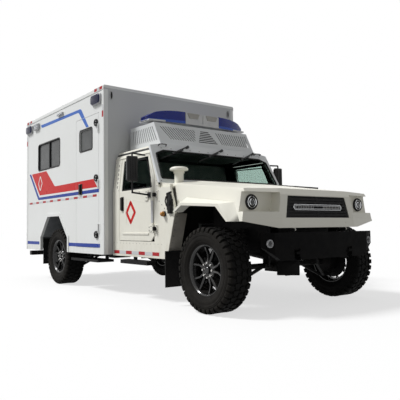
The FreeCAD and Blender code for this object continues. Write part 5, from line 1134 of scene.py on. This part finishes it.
# Cab: glass rubber, fastenings, door fittings and the rail over the doors

cabShape = {"gutter": 1.890, "roofSide": 1.025, "screenLow": 1.531, "screenHigh": 1.923, "screenCorner": 1.871,
            "halfLow": 1.018, "halfHigh": 0.983, "cornerHalf": 0.850, "rubber": 0.020, "wider": 1.006, "taller": 0.006,
            "hookZ": 1.985, "hook": ((-0.905, 0.0), (-0.905, 0.030), (-0.870, 0.038), (-0.800, 0.036), (-0.790, 0.0))}
sideLean = (truck["cabSide"] - cabShape["roofSide"]) / (cabShape["gutter"] - truck["belt"])


# How far out the cab's side stands at a height: upright to the belt, then leaning in
def cabSideY(z):
    return truck["cabSide"] - max(0.0, z - truck["belt"]) * sideLean


# A plate on the right side of the cab that follows the lean above the belt
def cabPlate(name, outline, lift, depth):
    leaning = all(z >= truck["belt"] - 0.001 for x, z in outline)
    out = Vector((0, -1, sideLean if leaning else 0)).normalized()
    corners = [onTruck(x, -cabSideY(z), z) + out * lift for x, z in outline]
    return outlinePiece(name, corners, out * depth)


# Fasteners in a row of places on the cab's side
def cabRivets(name, places, radius, proud, sides=10):
    outline = ((0.0002, 0.0), (radius, 0.0), (radius * 0.8, -proud * 0.7), (0.0002, -proud))
    rivets = [spinPiece(name, outline, onTruck(x, -cabSideY(z), z), sides) for x, z in places]
    dressBoth(smoothByAngle(joinPieces(name, rivets), 60), dullSteel, hull)


def alongLine(start, end, count):
    return [(start[0] + (end[0] - start[0]) * step / (count - 1), start[1] + (end[1] - start[1]) * step / (count - 1))
            for step in range(count)]


def makeCabSides():
    gutter = cabPlate("roofGutter", rectangle((-2.182, 1.878), (-1.232, 1.888)), skinGap, 0.008)
    dressBoth(softenEdges(gutter, 0.003), cabPaint, hull)
    outline = roundTurns(((-2.178, 1.428), (-2.008, 1.424), (-2.012, 1.838), (-2.172, 1.850)), 0.012)
    quarter = cabPlate("quarterPanel", outline, skinGap, 0.003)
    dressBoth(softenEdges(quarter, 0.001, 1), cabPaint, hull)
    places = alongLine((-2.166, 1.440), (-2.160, 1.836), 8) + alongLine((-2.022, 1.440), (-2.026, 1.826), 8)
    cabRivets("quarterRivets", places, 0.0055, 0.0055)
    # Black flat plates stand in for the slots through the quarter panel: painted shade of the openings
    outlines = [roundTurns(rectangle((-2.072, 1.47 + step * 0.06), (-2.056, 1.504 + step * 0.06)), 0.007, 3)
                for step in range(6)]
    holeShades = [cabPlate("quarterHoleShade", outline, 0.0034, 0.0006) for outline in outlines]
    dressBoth(joinPieces("quarterHoleShades", holeShades), trimPlastic, hull)
    cabRivets("sillRivets", alongLine((-2.15, 0.715), (-0.93, 0.715), 15), 0.0045, 0.004, 8)
    places = alongLine((-1.045, 1.290), (-0.862, 1.150), 4) + alongLine((-1.060, 1.500), (-1.000, 1.372), 3)
    cabRivets("cowlRivets", places, 0.007, 0.006)
    tape = sidePlate("sillTape", rectangle((-2.180, 0.570), (-0.985, 0.614)), -truck["cabSide"] - skinGap,
                     -boxMarks["film"])
    dressBoth(tape, sillTape, hull)


doorShape = {"hingeZ": (0.905, 1.326), "boltRadius": 0.0075, "boltProud": 0.006, "leafProud": 0.007,
             "stayBolts": ((-1.262, 1.372), (-1.262, 1.300), (-1.435, 1.382)),
             "glassSeal": ((-1.918, 1.424), (-1.170, 1.424), (-1.192, 1.550), (-1.338, 1.820), (-1.932, 1.838))}


# A hinge plate on the cab's side with its bolts
def hingePlate(name, outline, turn, bolts):
    shape = doorShape
    face, proud = -truck["cabSide"], shape["leafProud"]
    plate = sidePlate(name, roundTurns(outline, turn), face - skinGap, -proud)
    heads = [sideDisc("hingeBolt", x, face - proud, z, shape["boltRadius"], shape["boltProud"], 6, 0.001)
             for x, z in bolts]
    return softenEdges(plate, 0.002, 1), heads


def makeDoorHinges():
    leaves, leafBolts, feet, footBolts, rubbers = [], [], [], [], []
    face = -truck["cabSide"]
    for z in doorShape["hingeZ"]:
        outline = ((-1.222, z - 0.034), (-1.128, z - 0.052), (-1.128, z + 0.052), (-1.222, z + 0.040))
        places = ((-1.206, z + 0.020), (-1.206, z - 0.018), (-1.160, z + 0.032), (-1.160, z - 0.030))
        leaf, heads = hingePlate("hingeLeaf", outline, 0.014, places)
        leaves.append(leaf)
        leafBolts += heads
        outline = ((-1.076, z - 0.058), (-1.012, z - 0.050), (-1.012, z + 0.050), (-1.076, z + 0.058))
        places = ((-1.030, z - 0.036), (-1.030, z), (-1.030, z + 0.036))
        foot, heads = hingePlate("hingeFoot", outline, 0.012, places)
        feet.append(foot)
        footBolts += heads
        rubbers.append(truckBlock("hingeRubber", (-1.074, face - 0.046, z - 0.024),
                                  (-1.040, face - 0.0075, z + 0.024), 0.004))
    dressBoth(joinPieces("hingeLeaves", leaves), cabPaint, cabDoors)
    dressBoth(joinPieces("hingeLeafBolts", leafBolts), dullSteel, cabDoors)
    dressBoth(joinPieces("hingeFeet", feet), cabPaint, hull)
    dressBoth(joinPieces("hingeFootBolts", footBolts), dullSteel, hull)
    dressBoth(joinPieces("hingeRubbers", rubbers), sealRubber, hull)


def makeDoorFittings():
    shape = doorShape
    face = -truck["cabSide"]
    # Grey strip down the recessed channel by the hinges: painted shade for the shaded half of the recess
    outline = roundTurns(rectangle((-1.158, 0.978), (-1.112, 1.258)), 0.008)
    channelShade = sidePlate("doorChannelShade", outline, face - skinGap, -0.0125)
    dressBoth(softenEdges(channelShade, 0.004), lampGrey, cabDoors)
    handle = [truckBlock("doorHandle", (-1.944, face - 0.006, 1.152), (-1.872, face - skinGap, 1.344), 0.004),
              truckBlock("doorHandle", (-1.934, face - 0.0265, 1.160), (-1.892, face - 0.004, 1.336), 0.006),
              sideDisc("doorLock", -1.882, face - 0.005, 1.190, 0.008, 0.005, 16, 0.001)]
    dressBoth(joinPieces("doorHandle", handle), trimPlastic, cabDoors)
    outline = roundTurns(((-1.490, 1.398), (-1.300, 1.262), (-1.236, 1.262), (-1.228, 1.398)), 0.014)
    stay = sidePlate("mirrorStay", outline, face - skinGap, -0.012)
    dressBoth(softenEdges(stay, 0.003), cabPaint, cabDoors)
    bolts = [sideDisc("stayBolt", x, face - 0.012, z, 0.008, 0.006, 6, 0.001) for x, z in shape["stayBolts"]]
    dressBoth(joinPieces("stayBolts", bolts), dullSteel, cabDoors)
    creases = [rodPiece("doorCrease", onTruck(-1.796, face, 1.312), onTruck(x, face, z), 0.0028, 8)
               for x, z in ((-1.350, 1.252), (-1.798, 0.968))]
    dressBoth(smoothByAngle(joinPieces("doorCrease", creases)), cabPaint, cabDoors)
    corners = [onTruck(x, -cabSideY(z) + 0.002, z) for x, z in shape["glassSeal"]]
    ring = ringPlate("doorGlassSeal", corners, 0.016, Vector((0, -0.005, 0)))
    dressBoth(softenEdges(ring, 0.0015, 1), sealRubber, cabDoors)


screenAway = Vector((1, 0, truck["screenLean"])).normalized()


def screenPlace(y, z, lift):
    x = truck["screenBase"] - (z - truck["screenBaseZ"]) * truck["screenLean"]
    return onTruck(x, y, z) + screenAway * lift


def makeScreenTrim():
    shape = cabShape
    rim = [(-shape["halfLow"], shape["screenLow"]), (shape["halfLow"], shape["screenLow"]),
           (shape["halfHigh"], shape["screenCorner"]), (shape["cornerHalf"], shape["screenHigh"]),
           (-shape["cornerHalf"], shape["screenHigh"]), (-shape["halfHigh"], shape["screenCorner"])]
    rim = [(y * shape["wider"], z + shape["taller"] * (1 if z > shape["screenLow"] else -1)) for y, z in rim]
    corners = [screenPlace(y, z, -0.014) for y, z in roundTurns(rim, 0.03)]
    seal = ringPlate("screenSeal", corners, shape["rubber"], screenAway * 0.019)
    dress(smoothByAngle(softenEdges(seal, 0.004)), sealRubber, "chassis")
    places = [(0.10 + 0.155 * step, 1.952) for step in range(6)]
    places += [(1.035 - 0.012 * step, 1.50 + 0.075 * step) for step in range(5)]
    rivets = [discPiece("screenRivet", screenPlace(-y, z, 0), screenAway, 0.007, 0.005, 10, 0.002)
              for y, z in places]
    dressBoth(joinPieces("screenRivets", rivets), dullSteel, hull)
    hook = [screenPlace(y, shape["hookZ"], lift) for y, lift in shape["hook"]]
    dressBoth(tubePiece("screenHook", hook, 0.007), trimPlastic, hull)


# Parts of a wiper as corners (along, across), lift from the glass, thickness, edge and its steps
wiperShape = {"pivots": (-0.445, 0.155, 0.755), "pivotZ": 1.992, "reach": 0.520, "drop": 0.205,
              "Base": (((-0.022, -0.016), (0.034, -0.012), (0.034, 0.012), (-0.022, 0.018)), 0.0, 0.028, 0.005, 2),
              "Arm": (((0.0, -0.009), (0.300, -0.005), (0.300, 0.005), (0.0, 0.009)), 0.022, 0.008, 0.002, 1),
              "Clip": (((0.28, -0.020), (0.32, -0.020), (0.32, 0.008), (0.28, 0.008)), 0.012, 0.020, 0.003, 1),
              "Blade": (((0.100, -0.018), (0.540, -0.010), (0.540, -0.003), (0.100, -0.008)), 0.006, 0.016, 0, 0)}


def wiperPart(part, pivot):
    shape = wiperShape
    corners, lift, thick, edge, steps = shape[part]
    way = Vector((shape["reach"], shape["drop"])).normalized()
    spots = [screenPlace(pivot - run * way[0] - side * way[1], shape["pivotZ"] - run * way[1] + side * way[0], lift)
             for run, side in corners]
    piece = outlinePiece("wiper" + part, spots, screenAway * thick)
    return softenEdges(piece, edge, steps) if edge else piece


# Each wiper hangs from the top of the frame: a boot, a tapered arm and a blade with a rubber lip
def makeWipers():
    parts, rubbers = [], []
    for pivot in wiperShape["pivots"]:
        parts += [wiperPart(part, pivot) for part in ("Base", "Arm")]
        rubbers.append(wiperPart("Blade", pivot))
        parts.append(wiperPart("Clip", pivot))
    arms = dress(joinPieces("wiperArms", parts), trimPlastic, "chassis")
    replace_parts(arms, "wipers")
    dress(joinPieces("wiperBlades", rubbers), sealRubber, "chassis")


latchShape = {
    "strap": ((-0.752, 1.120), (-0.696, 1.120), (-0.686, 1.240), (-0.706, 1.330), (-0.738, 1.330), (-0.764, 1.240)),
    "spur": ((-0.800, 1.330), (-0.772, 1.336), (-0.766, 1.120), (-0.790, 1.130)),
    "brace": ((-0.700, 1.250), (-0.676, 1.256), (-0.690, 1.080), (-0.716, 1.080)),
    "loop": ((-0.745, 0.018, 1.300), (-0.800, 0.020, 1.285), (-0.822, 0.018, 1.235), (-0.800, 0.016, 1.180),
             (-0.752, 0.016, 1.150))}


# Hood latch on the cowl side: a strap with a T grip on a bracket, and the hook that it pulls
def makeLatches():
    shape = latchShape
    face = -truck["cabSide"] - skinGap
    strap = sidePlate("latchStrap", roundTurns(shape["strap"], 0.014), face - 0.012, -0.016)
    grip = rodPiece("latchGrip", onTruck(-0.762, face - 0.022, 1.322), onTruck(-0.688, face - 0.022, 1.336), 0.012,
                    14, 0.003)
    foot = truckBlock("latchFoot", (-0.772, face - 0.026, 1.082), (-0.680, face, 1.162), 0.007)
    spur = sidePlate("latchSpur", roundTurns(shape["spur"], 0.008), face, -0.020)
    brace = sidePlate("latchBrace", roundTurns(shape["brace"], 0.008), face, -0.026)
    loop = [onTruck(x, face - out, z) for x, out, z in shape["loop"]]
    pull = sideDisc("latchPull", -0.724, face - 0.028, 1.215, 0.030, 0.012, 24, 0.003)
    parts = [softenEdges(strap, 0.005), grip, foot, softenEdges(spur, 0.004), softenEdges(brace, 0.004), pull,
             tubePiece("latchLoop", loop, 0.008)]
    for piece in dressBoth(smoothByAngle(joinPieces("bonnetLatch", parts)), sealRubber, hull):
        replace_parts(piece, "latches")


turnLampCup = ((0.0005, 0.0), (0.034, 0.0), (0.035, -0.016), (0.031, -0.020), (0.0005, -0.020))
turnLampLens = ((0.0005, -0.018), (0.031, -0.018), (0.0315, -0.034), (0.027, -0.048), (0.017, -0.057),
                (0.0005, -0.060))


# Side turn lamp: a black cup on the cowl side and a domed amber lens
def makeTurnLamps():
    seat = onTruck(-0.863, -truck["cabSide"] - skinGap, 1.083)
    cup = spinPiece("turnLampCup", turnLampCup, seat, 32)
    lens = spinPiece("turnLampLens", turnLampLens, seat, 32)
    for piece in dressBoth(smoothByAngle(lens, 40), amberLens, hull):
        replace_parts(piece, "turn_lamps")
    dressBoth(smoothByAngle(cup, 40), trimPlastic, hull)


intakeShape = {"x": -0.895, "y": -0.840, "ribs": 24, "ribCircle": 0.0655, "ribLow": 1.590, "ribLength": 0.034,
               "ribRadius": 0.0030}


# Raised air intake with a domed cap and an open ribbed neck
def makeAirIntake():
    shape = intakeShape
    foot = onTruck(shape["x"], shape["y"], 0)
    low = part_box("air_intake")[0][2]
    stem = ((0.0005, low), (0.066, low), (0.066, low + 0.012), (0.058, low + 0.018), (0.057, 1.600), (0.0005, 1.600))
    neck = ((0.0005, 1.598), (0.063, 1.598), (0.066, 1.606), (0.066, 1.618), (0.0005, 1.630))
    cap = ((0.0005, 1.622), (0.104, 1.622), (0.1135, 1.628), (0.116, 1.638), (0.113, 1.650), (0.100, 1.662),
           (0.070, 1.671), (0.030, 1.6745), (0.0005, 1.675))
    parts = [spinPiece("intake", outline, foot, 48, "Z") for outline in (stem, neck, cap)]
    circle = shape["ribCircle"]
    for count in range(shape["ribs"]):
        angle = 2 * math.pi * count / shape["ribs"]
        spot = foot + Vector((circle * math.cos(angle), circle * math.sin(angle), shape["ribLow"]))
        parts.append(rodPiece("intakeRib", spot, spot + Vector((0, 0, shape["ribLength"])), shape["ribRadius"], 6))
    intake = dress(smoothByAngle(joinPieces("airIntake", parts), 40), cabPaint, "chassis")
    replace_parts(intake, "air_intake")


# Dark linings that show through the cab's glass
def makeCabLining():
    back = frontPlate("cabLining", roundTurns(((-1.03, 1.02), (1.03, 1.02), (1.03, 1.40), (0.965, 1.90),
                                               (-0.965, 1.90), (-1.03, 1.40)), 0.03), -2.150, 0.012)
    roof = topPlate("cabLining", roundTurns(rectangle((-2.145, -0.90), (-1.300, 0.90)), 0.05), 1.940, 0.008)
    dress(softenEdges(joinPieces("cabLining", [back, roof]), 0.004, 1), cabLining, "chassis")


toeShape = {"low": (-0.818, 0.548), "high": (-0.652, 1.085), "outer": -1.074, "inner": -0.900, "boltY": -1.045,
            "bolts": 7}


# The wheelhouse's rear face: a brown-grey strip down its outer edge with a row of fasteners
def makeToeStrip():
    shape = toeShape
    low, high, outer, inner = shape["low"], shape["high"], shape["outer"], shape["inner"]
    run = Vector((high[0] - low[0], high[1] - low[1])).normalized()
    ahead = Vector((run[1], 0, -run[0]))
    places = ((low[0], outer, low[1]), (low[0], inner, low[1]), (high[0], inner, high[1]),
              (high[0], outer, high[1]))
    corners = [onTruck(*place) + ahead * plateGap for place in places]
    strip = softenEdges(outlinePiece("toeStrip", corners, ahead * 0.006), 0.002, 1)
    dressBoth(strip, wheelhousePaint, hull)
    bolts = []
    for step in range(shape["bolts"]):
        share = (step + 0.5) / shape["bolts"]
        seat = onTruck(low[0] + (high[0] - low[0]) * share, shape["boltY"], low[1] + (high[1] - low[1]) * share)
        bolts.append(discPiece("toeBolt", seat + ahead * 0.0064, ahead, 0.008, 0.005, 8, 0.001))
    dressBoth(joinPieces("toeBolts", bolts), dullSteel, hull)


makeToeStrip()
makeCabSides()
makeDoorHinges()
makeDoorFittings()
makeScreenTrim()
makeWipers()
makeLatches()
makeTurnLamps()
makeAirIntake()
makeCabLining()
print("cab made")

# Side door: black round covers, handle plate

sideDoorShape = {"coverX": -2.435, "coverZ": (0.830, 1.645, 2.450), "handle": ((-3.052, 1.430), (-2.920, 1.596))}
coverOutline = ((0.0005, 0.0), (0.052, 0.0), (0.054, -0.010), (0.049, -0.022), (0.040, -0.026), (0.034, -0.022),
                (0.030, -0.014), (0.016, -0.013), (0.014, -0.021), (0.0005, -0.023))


def makeSideDoorFittings():
    shape = sideDoorShape
    face = -truck["boxSide"] - filmGap
    covers = [spinPiece("doorCover", coverOutline, onTruck(shape["coverX"], face, z), 36) for z in shape["coverZ"]]
    dress(smoothByAngle(joinPieces("doorCovers", covers), 35), trimPlastic, "side_door")
    plate = sidePlate("sideHandlePlate", roundTurns(rectangle(*shape["handle"]), 0.014), face, -0.007)
    grip = truckBlock("sideHandleGrip", (-3.012, face - 0.0262, 1.436), (-2.964, face - 0.006, 1.590), 0.007)
    lock = sideDisc("sideHandleLock", -2.940, face - 0.007, 1.465, 0.010, 0.004, 16, 0.001)
    handle = joinPieces("sideHandle", [softenEdges(plate, 0.002), grip, lock])
    dress(smoothByAngle(handle), trimPlastic, "side_door")


makeSideDoorFittings()
print("side door made")

# Cab seats: a hard base, and a cushion, back and head rest as crowned pads with sewn channels

seatShape = {"y": -0.760, "half": 0.196, "back": -2.096, "front": -1.454, "seatLow": 0.700, "seatTop": 0.896,
             "backTop": 1.380, "backThick": 0.142, "cuts": 16, "crown": 0.26, "pull": 0.035, "corner": 0.16,
             "seamWidth": 0.045, "seamDepth": 0.10}


# A pad filled tight: the faces crown, the sides pull in between the corners, and seams cut channels in the top
def padPiece(name, low, high, topAxis, channels):
    shape = seatShape
    middle = (Vector(low) + Vector(high)) / 2
    half = (Vector(high) - Vector(low)) / 2
    others = [axis for axis in range(3) if axis != topAxis]
    deselectAll()
    bpy.ops.mesh.primitive_cube_add(size=2)
    pad = takeName(name)
    bpy.ops.object.mode_set(mode="EDIT")
    bpy.ops.mesh.subdivide(number_cuts=shape["cuts"])
    backToObject()
    for vertex in pad.data.vertices:
        unit = vertex.co.copy()
        size = [0.0, 0.0, 0.0]
        bulge = 1.0
        for axis in others:
            bulge *= 1 - abs(unit[axis]) ** 5
        size[topAxis] = unit[topAxis] * (1 - shape["crown"] + shape["crown"] * bulge)
        for here, other in (others, others[::-1]):
            pull = shape["pull"] * (1 - unit[other] ** 2) * abs(unit[here]) ** 3
            edge = 1 - shape["corner"] * abs(unit[topAxis]) ** 4 * abs(unit[here]) ** 4
            size[here] = unit[here] * (1 - pull) * edge
        for place in channels:
            near = math.exp(-((unit[others[1]] - place) / shape["seamWidth"]) ** 2)
            if unit[topAxis] > 0:
                size[topAxis] -= shape["seamDepth"] * near * unit[topAxis] * (1 - abs(unit[others[0]]) ** 6)
        vertex.co = middle + Vector([size[axis] * half[axis] for axis in range(3)])
    return smoothByAngle(pad, 60)


def makeSeats():
    shape = seatShape
    y, half = shape["y"], shape["half"]
    base = truckBlock("seatBase", (-1.930, y - 0.170, 0.572), (-1.490, y + 0.170, 0.706), 0.015)
    dressBoth(base, trimPlastic, hull)
    cushion = padPiece("seatCushion", onTruck(-1.960, y - half, shape["seatLow"]),
                       onTruck(shape["front"], y + half, shape["seatTop"]), 2, (-0.45, 0.0, 0.45))
    rest = padPiece("seatBack", onTruck(shape["back"], y - half, 0.800),
                    onTruck(shape["back"] + shape["backThick"], y + half, shape["backTop"]), 0, (-0.4, 0.0, 0.4))
    head = padPiece("headRest", onTruck(shape["back"] + 0.020, y - 0.130, 1.400),
                    onTruck(shape["back"] + 0.112, y + 0.130, 1.556), 0, ())
    posts = [rodPiece("headPost", onTruck(shape["back"] + 0.066, y + side, 1.350),
                      onTruck(shape["back"] + 0.066, y + side, 1.440), 0.006, 10) for side in (-0.06, 0.06)]
    dressBoth(joinPieces("headPosts", posts), dullSteel, hull)
    for number, pad in enumerate((cushion, rest, head)):
        for piece in dressBoth(pad, seatCloth, hull):
            if number == 0:
                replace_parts(piece, "seats")


makeSeats()
print("seats made")

# Suspension: coil springs over dampers at the front axle

springShape = {"x": 0.0, "y": -0.625, "low": 0.540, "high": 0.880, "radius": 0.062, "wire": 0.008, "turns": 6,
               "rods": (("damperBody", 0.500, 0.720, 0.030, 20, 0.003), ("damperRod", 0.715, 0.905, 0.012, 14, 0),
                        ("springCup", 0.530, 0.540, 0.074, 28, 0.002), ("springCup", 0.880, 0.890, 0.074, 28, 0.002))}


def makeSprings():
    shape = springShape
    seat = onTruck(shape["x"], shape["y"], 0)
    steps = shape["turns"] * 16
    points = []
    for step in range(steps + 1):
        angle = 2 * math.pi * step / 16
        rise = shape["low"] + (shape["high"] - shape["low"]) * step / steps
        points.append(seat + Vector((shape["radius"] * math.cos(angle), shape["radius"] * math.sin(angle), rise)))
    parts = [tubePiece("coilSpring", points, shape["wire"], 1)]
    for name, low, high, radius, sides, edge in shape["rods"]:
        parts.append(rodPiece(name, seat + Vector((0, 0, low)), seat + Vector((0, 0, high)), radius, sides, edge))
    dressBoth(joinPieces("coilSprings", parts), chassisCoat, hull)


brakeShape = {"disc": 0.186, "hole": 0.090, "shield": 0.205, "rim": 0.199, "eye": 0.050, "inner": -0.955,
              "outer": -0.972, "sheet": 0.004, "half": 0.008}


# Brake disc with its shield and caliper behind each wheel; the shields close the view through the spokes
def makeBrakes():
    shape = brakeShape
    inner, outer, sheet = shape["inner"], shape["outer"], shape["sheet"]
    shieldOutline = ((shape["eye"], inner), (shape["shield"], inner), (shape["shield"], outer), (shape["rim"], outer),
                     (shape["rim"], inner - sheet), (shape["eye"], inner - sheet))
    discOutline = ((shape["hole"], outer + sheet), (shape["disc"], outer + sheet),
                   (shape["disc"], outer - shape["half"]), (shape["hole"], outer - shape["half"]))
    for axle, bodies in ((0.0, ("knuckle_right", "knuckle_left")), (-truck["wheelbase"], hull)):
        centre = onTruck(axle, 0, truck["axleHeight"])
        shield = spinPiece("brakeShield", shieldOutline, centre, 48)
        disc = spinPiece("brakeDisc", discOutline, centre, 48)
        caliper = blockPiece("brakeCaliper", centre + Vector((-0.190, outer - 0.022, 0.020)),
                             centre + Vector((-0.105, inner + 0.020, 0.130)), 0.010)
        parts = joinPieces("brakeShields", [shield, disc, caliper])
        dressBoth(smoothByAngle(parts), chassisCoat, bodies)


makeSprings()
makeBrakes()
print("springs and brakes made")

# Mirrors: glass on the rear face and moulded ribs on the front

mirrorShape = {"back": -1.295, "front": -1.225, "inner": 1.222, "outer": 1.372, "low": 1.500, "high": 1.815,
               "ribs": (-1.262, -1.297, -1.332), "ribHalf": 0.009}


def makeMirrors():
    shape = mirrorShape
    outline = rectangle((-shape["outer"] + 0.010, shape["low"] + 0.012),
                        (-shape["inner"] - 0.010, shape["high"] - 0.012))
    glass = frontPlate("mirrorGlass", roundTurns(outline, 0.02), shape["back"] - skinGap, -0.002)
    dressBoth(softenEdges(glass, 0.0008, 1), chromeRing, cabDoors)
    ribs = []
    for y in shape["ribs"]:
        outline = rectangle((y - shape["ribHalf"], shape["low"] + 0.030), (y + shape["ribHalf"], shape["high"] - 0.030))
        rib = frontPlate("mirrorRib", roundTurns(outline, 0.008), shape["front"] + skinGap, 0.006)
        ribs.append(softenEdges(rib, 0.003))
    dressBoth(smoothByAngle(joinPieces("mirrorRibs", ribs)), trimPlastic, cabDoors)


makeMirrors()
print("mirrors made")

# Rear: tail lamps, door furniture, a blank plate and tape

rearShape = {"face": -5.420, "lampY": -1.165, "lampLow": 1.060, "lampHigh": 1.390, "lampHalf": 0.035, "proud": 0.0215,
             "doorFace": -5.4342, "hingeZ": (0.95, 1.45, 2.10, 2.70), "hingeY": (-1.085, -0.965), "hingeHalf": 0.030,
             "boltY": (-1.060, -1.025, -0.990)}


def makeTailLamps():
    shape = rearShape
    y, face = shape["lampY"], shape["face"]
    body = truckBlock("tailLampBody", (face - 0.012, y - shape["lampHalf"], shape["lampLow"]),
                      (face - skinGap, y + shape["lampHalf"], shape["lampHigh"]), 0.004)
    dressBoth(body, trimPlastic, hull)
    for name, material, slot, low, high in (("tailLampRed", redLens, "red_lens", 0.006, 0.150),
                                            ("tailLampAmber", amberLens, "amber", 0.156, 0.236),
                                            ("tailLampClear", lampGlass, "lamp_glass", 0.242, 0.324)):
        lens = truckBlock(name, (face - shape["proud"], y - 0.030, shape["lampLow"] + low),
                          (face - 0.0125, y + 0.030, shape["lampLow"] + high), 0.005)
        for piece in dressBoth(lens, material, hull):
            if name == "tailLampRed":
                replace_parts(piece, "rear_lamps")


def makeRearDoors():
    shape = rearShape
    face = shape["doorFace"]
    parts = []
    outer, inner = shape["hingeY"]
    for z in shape["hingeZ"]:
        outline = roundTurns(rectangle((outer, z - shape["hingeHalf"]), (inner, z + shape["hingeHalf"])), 0.012)
        parts.append(softenEdges(frontPlate("rearHingeLeaf", outline, face - plateGap, -0.004), 0.0015, 1))
        for y in shape["boltY"]:
            parts.append(discPiece("rearHingeBolt", onTruck(face - 0.0044, y, z), (-1, 0, 0), 0.008, 0.005, 8, 0.001))
    dressBoth(joinPieces("rearHinges", parts), dullSteel, rearDoors)
    tape = frontPlate("rearTape", rectangle((-1.080, 0.735), (-0.160, 0.785)), face - plateGap, -boxMarks["film"])
    dressBoth(tape, redTape, rearDoors)
    outline = roundTurns(rectangle((-0.760, 0.830), (-0.330, 0.960)), 0.010)
    plate = frontPlate("blankPlate", outline, face - plateGap, -0.003)
    dress(softenEdges(plate, 0.001, 1), whiteFilm, "rear_door_right")


makeTailLamps()
makeRearDoors()
print("rear made")

# Steps: raised treads on the entry and cab steps

stepTreads = ((-3.380, -2.450, -1.185, -0.935, 0.4660, 0.030), (-1.800, -1.160, -1.160, -1.045, 0.5020, 0.030))


def makeTreads():
    for rear, front, outer, inner, top, pitch in stepTreads:
        bars = []
        count = int((front - rear - 0.02) / pitch)
        for step in range(count):
            x = rear + 0.02 + pitch * step
            bars.append(truckBlock("treadBar", (x, outer + 0.012, top + 0.0002),
                                   (x + 0.010, inner - 0.012, top + 0.0035)))
        dressBoth(joinPieces("stepTread", bars), chassisCoat, hull)


makeTreads()
print("treads made")

# Camera, floor and lamps

view = {"place": (6.7115, -4.464, 0.916), "yaw": 142.63, "pitch": 3.07, "roll": -0.73, "lens": 45.79,
        "sensor": 36, "far": 200}
light = {"sky": 0.32, "floorTone": 0.30, "floorLift": 0.655, "sunWay": (0.38, 0.50, -0.78), "sun": 3.35,
         "sunAngle": 14, "floorSize": 160, "floorDrop": 0.001}


def makeCamera():
    yaw, pitch, roll = (math.radians(view[key]) for key in ("yaw", "pitch", "roll"))
    forward = Vector((math.cos(yaw) * math.cos(pitch), math.sin(yaw) * math.cos(pitch), math.sin(pitch)))
    right = forward.cross(Vector((0, 0, 1))).normalized()
    up = right.cross(forward)
    turnedRight = math.cos(roll) * right + math.sin(roll) * up
    turnedUp = -math.sin(roll) * right + math.cos(roll) * up
    deselectAll()
    bpy.ops.object.camera_add(location=view["place"])
    camera = bpy.context.active_object
    basis = Matrix((turnedRight, turnedUp, -forward)).transposed().to_4x4()
    camera.matrix_world = Matrix.Translation(view["place"]) @ basis
    camera.data.lens = view["lens"]
    camera.data.sensor_width = view["sensor"]
    camera.data.clip_end = view["far"]
    bpy.context.scene.camera = camera


# 1 for what the camera, a reflection or clear glass sees, and 0 for light on the object
def whiteToCamera(tree):
    path = tree.nodes.new("ShaderNodeLightPath")
    seen = combineFields(tree, path.outputs["Is Camera Ray"], path.outputs["Is Glossy Ray"], "MAXIMUM")
    return combineFields(tree, seen, path.outputs["Is Transmission Ray"], "MAXIMUM")


def makeFloor():
    deselectAll()
    bpy.ops.mesh.primitive_plane_add(size=light["floorSize"], location=(0, 0, -light["floorDrop"]))
    floor = takeName("studioFloor")
    material = bpy.data.materials.new("studioFloor")
    material.use_nodes = True
    tree = material.node_tree
    tree.nodes.clear()
    output = tree.nodes.new("ShaderNodeOutputMaterial")
    matt = tree.nodes.new("ShaderNodeBsdfDiffuse")
    matt.inputs["Color"].default_value = (light["floorTone"],) * 3 + (1,)
    lift = tree.nodes.new("ShaderNodeEmission")
    tree.links.new(rampField(tree, whiteToCamera(tree), 0, 1, 0, light["floorLift"]), lift.inputs["Strength"])
    both = tree.nodes.new("ShaderNodeAddShader")
    tree.links.new(matt.outputs["BSDF"], both.inputs[0])
    tree.links.new(lift.outputs["Emission"], both.inputs[1])
    tree.links.new(both.outputs["Shader"], output.inputs["Surface"])
    floor.data.materials.append(material)


def makeSky():
    world = bpy.data.worlds.new("studioSky")
    bpy.context.scene.world = world
    world.use_nodes = True
    tree = world.node_tree
    tree.nodes.clear()
    output = tree.nodes.new("ShaderNodeOutputWorld")
    ground = tree.nodes.new("ShaderNodeBackground")
    ground.inputs["Color"].default_value = (1, 1, 1, 1)
    tree.links.new(rampField(tree, whiteToCamera(tree), 0, 1, light["sky"], 1.0), ground.inputs["Strength"])
    tree.links.new(ground.outputs["Background"], output.inputs["Surface"])


def makeSun(name, direction, strength, angle):
    deselectAll()
    bpy.ops.object.light_add(type="SUN", location=(0, 0, 8))
    sun = bpy.context.active_object
    sun.name = name
    sun.rotation_euler = Vector(direction).to_track_quat("-Z", "Y").to_euler()
    sun.data.energy = strength
    sun.data.angle = math.radians(angle)


makeCamera()
makeFloor()
makeSky()
makeSun("keySun", light["sunWay"], light["sun"], light["sunAngle"])
bpy.context.scene.view_settings.view_transform = "Standard"
print("camera, floor and lamps made")
